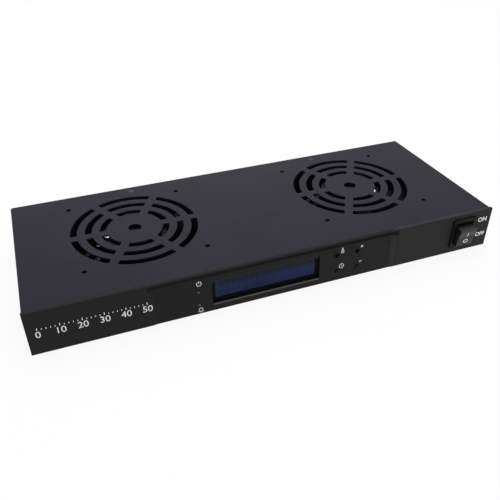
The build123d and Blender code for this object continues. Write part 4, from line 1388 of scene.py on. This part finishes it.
BULB = arc(1.3, 115, 425, centre=(0.0, -1.2))
SIGNS = (
    Sign("power_sign", -77.0, 11.8, 0.55, (arc(2.0, 120, 420), [(0.0, 0.4), (0.0, 2.6)])),
    Sign("alarm_sign", -77.0, 37.6, 0.55, (
        [(-2.3, -1.3), *arc(1.5, 180, 0, centre=(0.0, 0.6)), (2.3, -1.3), (-2.3, -1.3)],
        arc(0.6, 200, 340, 8, (0.0, -1.5)))),
    Sign("temperature_sign", 56.5, 11.6, 0.45, (
        [*BULB, *arc(0.55, 0, 180, 8, (0.0, 2.0)), BULB[0]],
        [(0.0, -1.2), (0.0, 1.0)])),
    Sign("clock_sign", 56.0, 27.3, 0.5, (arc(2.2, 0, 360), [(0.0, 1.4), (0.0, 0.0), (1.0, -0.5)])),
    Sign("plus_sign", 76.1, 11.7, 0.7, ([(-1.25, 0.0), (1.25, 0.0)], [(0.0, -1.25), (0.0, 1.25)])),
    Sign("minus_sign", 75.2, 27.0, 0.7, ([(-1.25, 0.0), (1.25, 0.0)],)),
)


@dataclass
class PrintedMarks:
    """White marks on the fascia and the rocker."""

    shop: Workshop
    face: FrontFace
    thickness: float = 0.03 * MM
    ink: str = "white_ink"
    boldness: float = 0.024
    seam: float = 0.002 * MM
    flat_angle: float = math.radians(1.0)
    rocker_mark: float = 2.3
    rocker_stroke: float = 0.8
    ring_squash: float = 0.75
    rocker_shift: float = 0.5 * MM
    facet_step: float = 0.06
    scale_left: float = -206.5 * MM
    scale_drop: float = 20.5 * MM
    scale_step: float = 17.0 * MM
    scale_numbers: int = 6
    scale_size: float = 8.7 * MM
    ticks_each: int = 5
    tick: float = 2.4 * MM
    tick_width: float = 0.55 * MM
    short_tick: float = 0.55
    numbers_drop: float = 1.6 * MM
    ticks_rise: float = 3.0 * MM

    def build(self) -> None:
        """Print every mark."""
        top = self.face.height
        for sign in SIGNS:
            place = self.face.recessed(sign.x * MM, top - sign.drop * MM)
            self.strokes(sign.name, sign.paths, place, sign.width)
        self.words("on_word", "ON", 6.4 * MM, self.face.flush(205.3 * MM, top - 10.3 * MM), self.boldness)
        self.words("off_word", "OFF", 6.0 * MM, self.face.flush(206.2 * MM, top - 26.8 * MM), self.boldness)
        self.number_scale()
        self.rocker_signs()

    def words(self, name: str, characters: str, size: float, place: Matrix, weight: float = 0.0) -> None:
        """Print a short run of characters.

        Args:
            name: the piece's name.
            characters: what it says.
            size: their size in metres.
            place: the frame of their middle.
            weight: how much bolder they are, as a share of their size.
        """
        curve = bpy.data.curves.new(name, "FONT")
        curve.body = characters
        curve.align_x = "CENTER"
        curve.align_y = "CENTER"
        curve.size = size
        curve.offset = weight * size
        curve.extrude = self.thickness / 2
        letters = linked(name + "_letters", curve)
        mesh = bpy.data.meshes.new_from_object(letters)
        bpy.data.objects.remove(letters)
        work = bmesh.new()
        work.from_mesh(mesh)
        bmesh.ops.remove_doubles(work, verts=work.verts, dist=self.seam)
        bmesh.ops.dissolve_limit(work, angle_limit=self.flat_angle, verts=work.verts, edges=work.edges)
        work.to_mesh(mesh)
        work.free()
        self.shop.settle(linked(name + "_source", mesh), name, self.ink, Body.TRAY, place)

    def strokes(self, name: str, paths: tuple, place: Matrix, width: float, body: Body = Body.TRAY) -> None:
        """Print lines of one width.

        Args:
            name: the piece's name.
            paths: lists of points in millimetres; a path that ends where it starts is closed.
            place: the frame of the mark's middle.
            width: the lines' width in millimetres.
            body: the body that the piece rides on.
        """
        half = width * MM / 2
        work = bmesh.new()
        for path in paths:
            points = [Vector(mm(*point)) for point in path]
            closed = (points[0] - points[-1]).length < half / 10
            if closed:
                points.pop()
            rims = []
            for i, point in enumerate(points):
                before = points[i - 1] if closed or i > 0 else point
                after = points[(i + 1) % len(points)] if closed or i < len(points) - 1 else point
                along = (after - before).normalized()
                side = Vector((-along.y, along.x)) * half
                rims.append((point + side, point - side))
            self.ribbon(work, rims, closed)
        bmesh.ops.recalc_face_normals(work, faces=work.faces)
        mesh = bpy.data.meshes.new(name + "_source")
        work.to_mesh(mesh)
        work.free()
        self.shop.settle(linked(name + "_source", mesh), name, self.ink, body, place)

    def ribbon(self, mesh: bmesh.types.BMesh, rims: list, closed: bool) -> None:
        """Add a flat closed strip between two rims.

        Args:
            mesh: the mesh that takes it.
            rims: left and right point at each step.
            closed: whether the strip runs round to its start.
        """
        top = self.thickness
        rows = []
        for left, right in rims:
            corners = ((left, 0.0), (right, 0.0), (right, top), (left, top))
            rows.append([mesh.verts.new((point.x, point.y, z)) for point, z in corners])
        steps = len(rows) if closed else len(rows) - 1
        for i in range(steps):
            near, far = rows[i], rows[(i + 1) % len(rows)]
            for k in range(4):
                mesh.faces.new((near[k], near[(k + 1) % 4], far[(k + 1) % 4], far[k]))
        if not closed:
            mesh.faces.new(rows[0])
            mesh.faces.new(rows[-1])

    def rocker_signs(self) -> None:
        """Ring on the rocker's lower half and bar on its upper half."""
        low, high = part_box("power_rocker")
        x = (low.x + high.x) / 2 + self.rocker_shift
        size, step = self.rocker_mark, self.facet_step
        ring = [(across, self.ring_squash * up) for across, up in arc(size, 0, 360)]
        bar = [(0.0, -size), (0.0, size)]
        for name, share, path in (("rocker_off_ring", 0.24, ring), ("rocker_on_bar", 0.64, bar)):
            below, point, above = (self.facet_point(share + shift) for shift in (-step, 0.0, step))
            slope = (above.y - below.y) / (above.z - below.z)
            place = self.face.frame(Vector((x, point.y, point.z)), slope)
            self.strokes(name, (path,), place, self.rocker_stroke, Body.ROCKER)

    def facet_point(self, share: float) -> Vector:
        """Point on the rocker's face at a share of its height.

        Args:
            share: how far up the rocker the point lies.

        Returns:
            The foremost point of the rocker's mesh at that height.
        """
        low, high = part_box("power_rocker")
        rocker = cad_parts["power_rocker"]
        height = low.z + (high.z - low.z) * share
        x = (low.x + high.x) / 2
        hit, where, _, _ = rocker.ray_cast(Vector((x, low.y - 1.0, height)), Vector((0.0, 1.0, 0.0)))
        return where if hit else Vector((x, low.y, height))

    def number_scale(self) -> None:
        """Plain scale from 0 to 50 on the left end."""
        left = self.scale_left
        middle = self.face.height - self.scale_drop
        for i in range(self.scale_numbers):
            place = self.face.flush(left + i * self.scale_step, middle - self.numbers_drop)
            self.words(f"scale_number_{i}", str(10 * i), self.scale_size, place)
        shape = Shape("scale_ticks_shape", {
            "Ticks": (self.scale_numbers - 1) * self.ticks_each + 1, "Group": self.ticks_each,
            "Spacing": self.scale_step / self.ticks_each, "Long tick": self.tick,
            "Short share": self.short_tick, "Width": self.tick_width, "Thickness": self.thickness})
        line = shape.node("GeometryNodeMeshLine", None,
                          {"Count": shape["Ticks"], "Offset": shape.vector(shape["Spacing"], 0.0, 0.0)})
        tick = shape.plate(shape["Width"], shape["Long tick"], shape["Thickness"], 0.0)
        tick = shape.moved(tick, shape.vector(0.0, shape["Long tick"] / 2, 0.0))
        minor = (shape.index() % shape["Group"]).smaller(1.0)
        length = 1.0 - minor * (1.0 - shape["Short share"])
        shape.close(shape.copies(line, tick, scale=shape.vector(1.0, length, 1.0)))
        source = shape.make(self.shop.materials[self.ink])
        place = self.face.flush(left, middle + self.ticks_rise)
        self.shop.settle(source, "scale_ticks", self.ink, Body.TRAY, place)


@dataclass
class Studio:
    """Camera, pale floor, soft lamps and white surroundings."""

    lens: float = 42.34
    sensor: float = 36.0
    nearest: float = 10.0 * MM
    camera_place: tuple = (-174.3 * MM, -452.5 * MM, 326.7 * MM)
    right: tuple = (0.9333, -0.3591, -0.0028)
    down: tuple = (-0.2057, -0.5282, -0.8238)
    forward: tuple = (0.2943, 0.7694, -0.5669)
    floor_size: float = 40.0
    floor_gap: float = 0.1 * MM
    world_light: float = 0.42
    footprint: float = 8.0 * MM
    back_overhang: float = 6 * MM
    whiteness: float = 0.9
    paper: tuple = paint(244, 244, 244)
    paper_shade: tuple = paint(240, 240, 240)
    paper_patch: float = 0.2
    lamps: tuple = (
        ("overhead_lamp", (0.1, 0.5, 1.7), 2.2, 24.0),
        ("front_lamp", (-0.9, -1.5, 1.1), 1.4, 6.0),
        ("right_lamp", (1.25, -1.0, 0.45), 0.8, 5.0),
        ("back_lamp", (0.5, 1.9, 1.3), 1.4, 6.0),
    )

    def build(self) -> None:
        """Set the whole studio up."""
        self.camera()
        self.world()
        self.floor()
        for lamp in self.lamps:
            self.lamp(*lamp)

    def camera(self) -> None:
        """Place the camera at the viewing angle."""
        data = bpy.data.cameras.new("camera")
        data.lens = self.lens
        data.sensor_width = self.sensor
        data.clip_start = self.nearest
        camera = linked("camera", data)
        turn = Matrix((Vector(self.right), -Vector(self.down), -Vector(self.forward))).transposed().to_4x4()
        camera.matrix_world = Matrix.Translation(self.camera_place) @ turn.normalized()
        bpy.context.scene.camera = camera

    def world(self) -> None:
        """White to the camera and in reflections, a plain soft light otherwise."""
        world = bpy.data.worlds.new("surroundings")
        world.use_nodes = True
        bench = Bench()
        bench.tree = world.node_tree
        bench.tree.nodes.clear()
        strength = self.world_light + (1.0 - self.world_light) * bench.sight()
        light = bench.node("ShaderNodeBackground", None, {"Color": WHITE, "Strength": strength})
        bench.node("ShaderNodeOutputWorld", None, {"Surface": light})
        bpy.context.scene.world = world

    def floor(self) -> None:
        """Pale floor that keeps the object's shadow."""
        half = self.floor_size / 2
        mesh = bpy.data.meshes.new("floor")
        z = -self.floor_gap
        mesh.from_pydata([(-half, -half, z), (half, -half, z), (half, half, z), (-half, half, z)], [],
                         [(0, 1, 2, 3)])
        floor = linked("floor", mesh)
        shade = Shade("floor_paper")
        paper = shade.mix(self.paper, self.paper_shade, shade.noise(self.paper_patch))
        lit = shade.node("ShaderNodeBsdfDiffuse", None, {"Color": paper})
        white = shade.node("ShaderNodeEmission", None, {"Color": WHITE, "Strength": 1.0})
        high = CAD_BOX[1]
        beside = abs(shade.axis("X")) - high.x
        behind = abs(shade.axis("Y")) - (high.y - self.back_overhang)
        bare = beside.larger(behind).ramp(-self.footprint, 0.0)
        share = shade.sight() * bare * self.whiteness
        both = shade.node("ShaderNodeMixShader", None, {0: share, 1: lit, 2: white})
        shade.node("ShaderNodeOutputMaterial", None, {"Surface": both})
        mesh.materials.append(shade.material)

    def lamp(self, name: str, place: tuple, size: float, power: float) -> None:
        """Soft square lamp that looks at the object.

        Args:
            name: its name.
            place: where it hangs, in metres.
            size: its side in metres.
            power: its power in watts.
        """
        data = bpy.data.lights.new(name, "AREA")
        data.shape = "SQUARE"
        data.size = size
        data.energy = power
        lamp = linked(name, data)
        lamp.location = place
        lamp.rotation_euler = (-Vector(place)).to_track_quat("-Z", "Y").to_euler()


def main() -> None:
    """Build the looks in order."""
    logging.basicConfig(level=logging.INFO, format="%(name)s %(message)s")
    bpy.context.scene.view_settings.view_transform = "Standard"
    shop = Workshop()
    shop.dress_nodes()
    face = FrontFace(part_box("front_fascia")[0].y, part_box("front_fascia")[1].z)
    PrintedMarks(shop, face).build()
    CharacterCells(shop).build()
    for node, drive, thread, head, length in (
            ("cover_screws", Drive.INWARD, 3.0, 5.4, 6.0), ("fan_screws", Drive.UP, 4.0, 7.2, 10.0),
            ("standoff_screws", Drive.UP, 3.0, 5.4, 4.5), ("inlet_screws", Drive.FORWARD, 3.0, 5.4, 6.4)):
        ScrewSet(shop, node, drive, *mm(thread, head, length)).build()
    left = Impeller(shop, "left", Body.LEFT_ROTOR)
    right = Impeller(shop, "right", Body.RIGHT_ROTOR, turn=math.radians(28.0))
    left.build()
    right.build()
    left.clip(*mm(-26.1, -1.2))
    right.clip(*mm(19.3, -14.4))
    Studio().build()


if __name__ == "__main__":
    main()
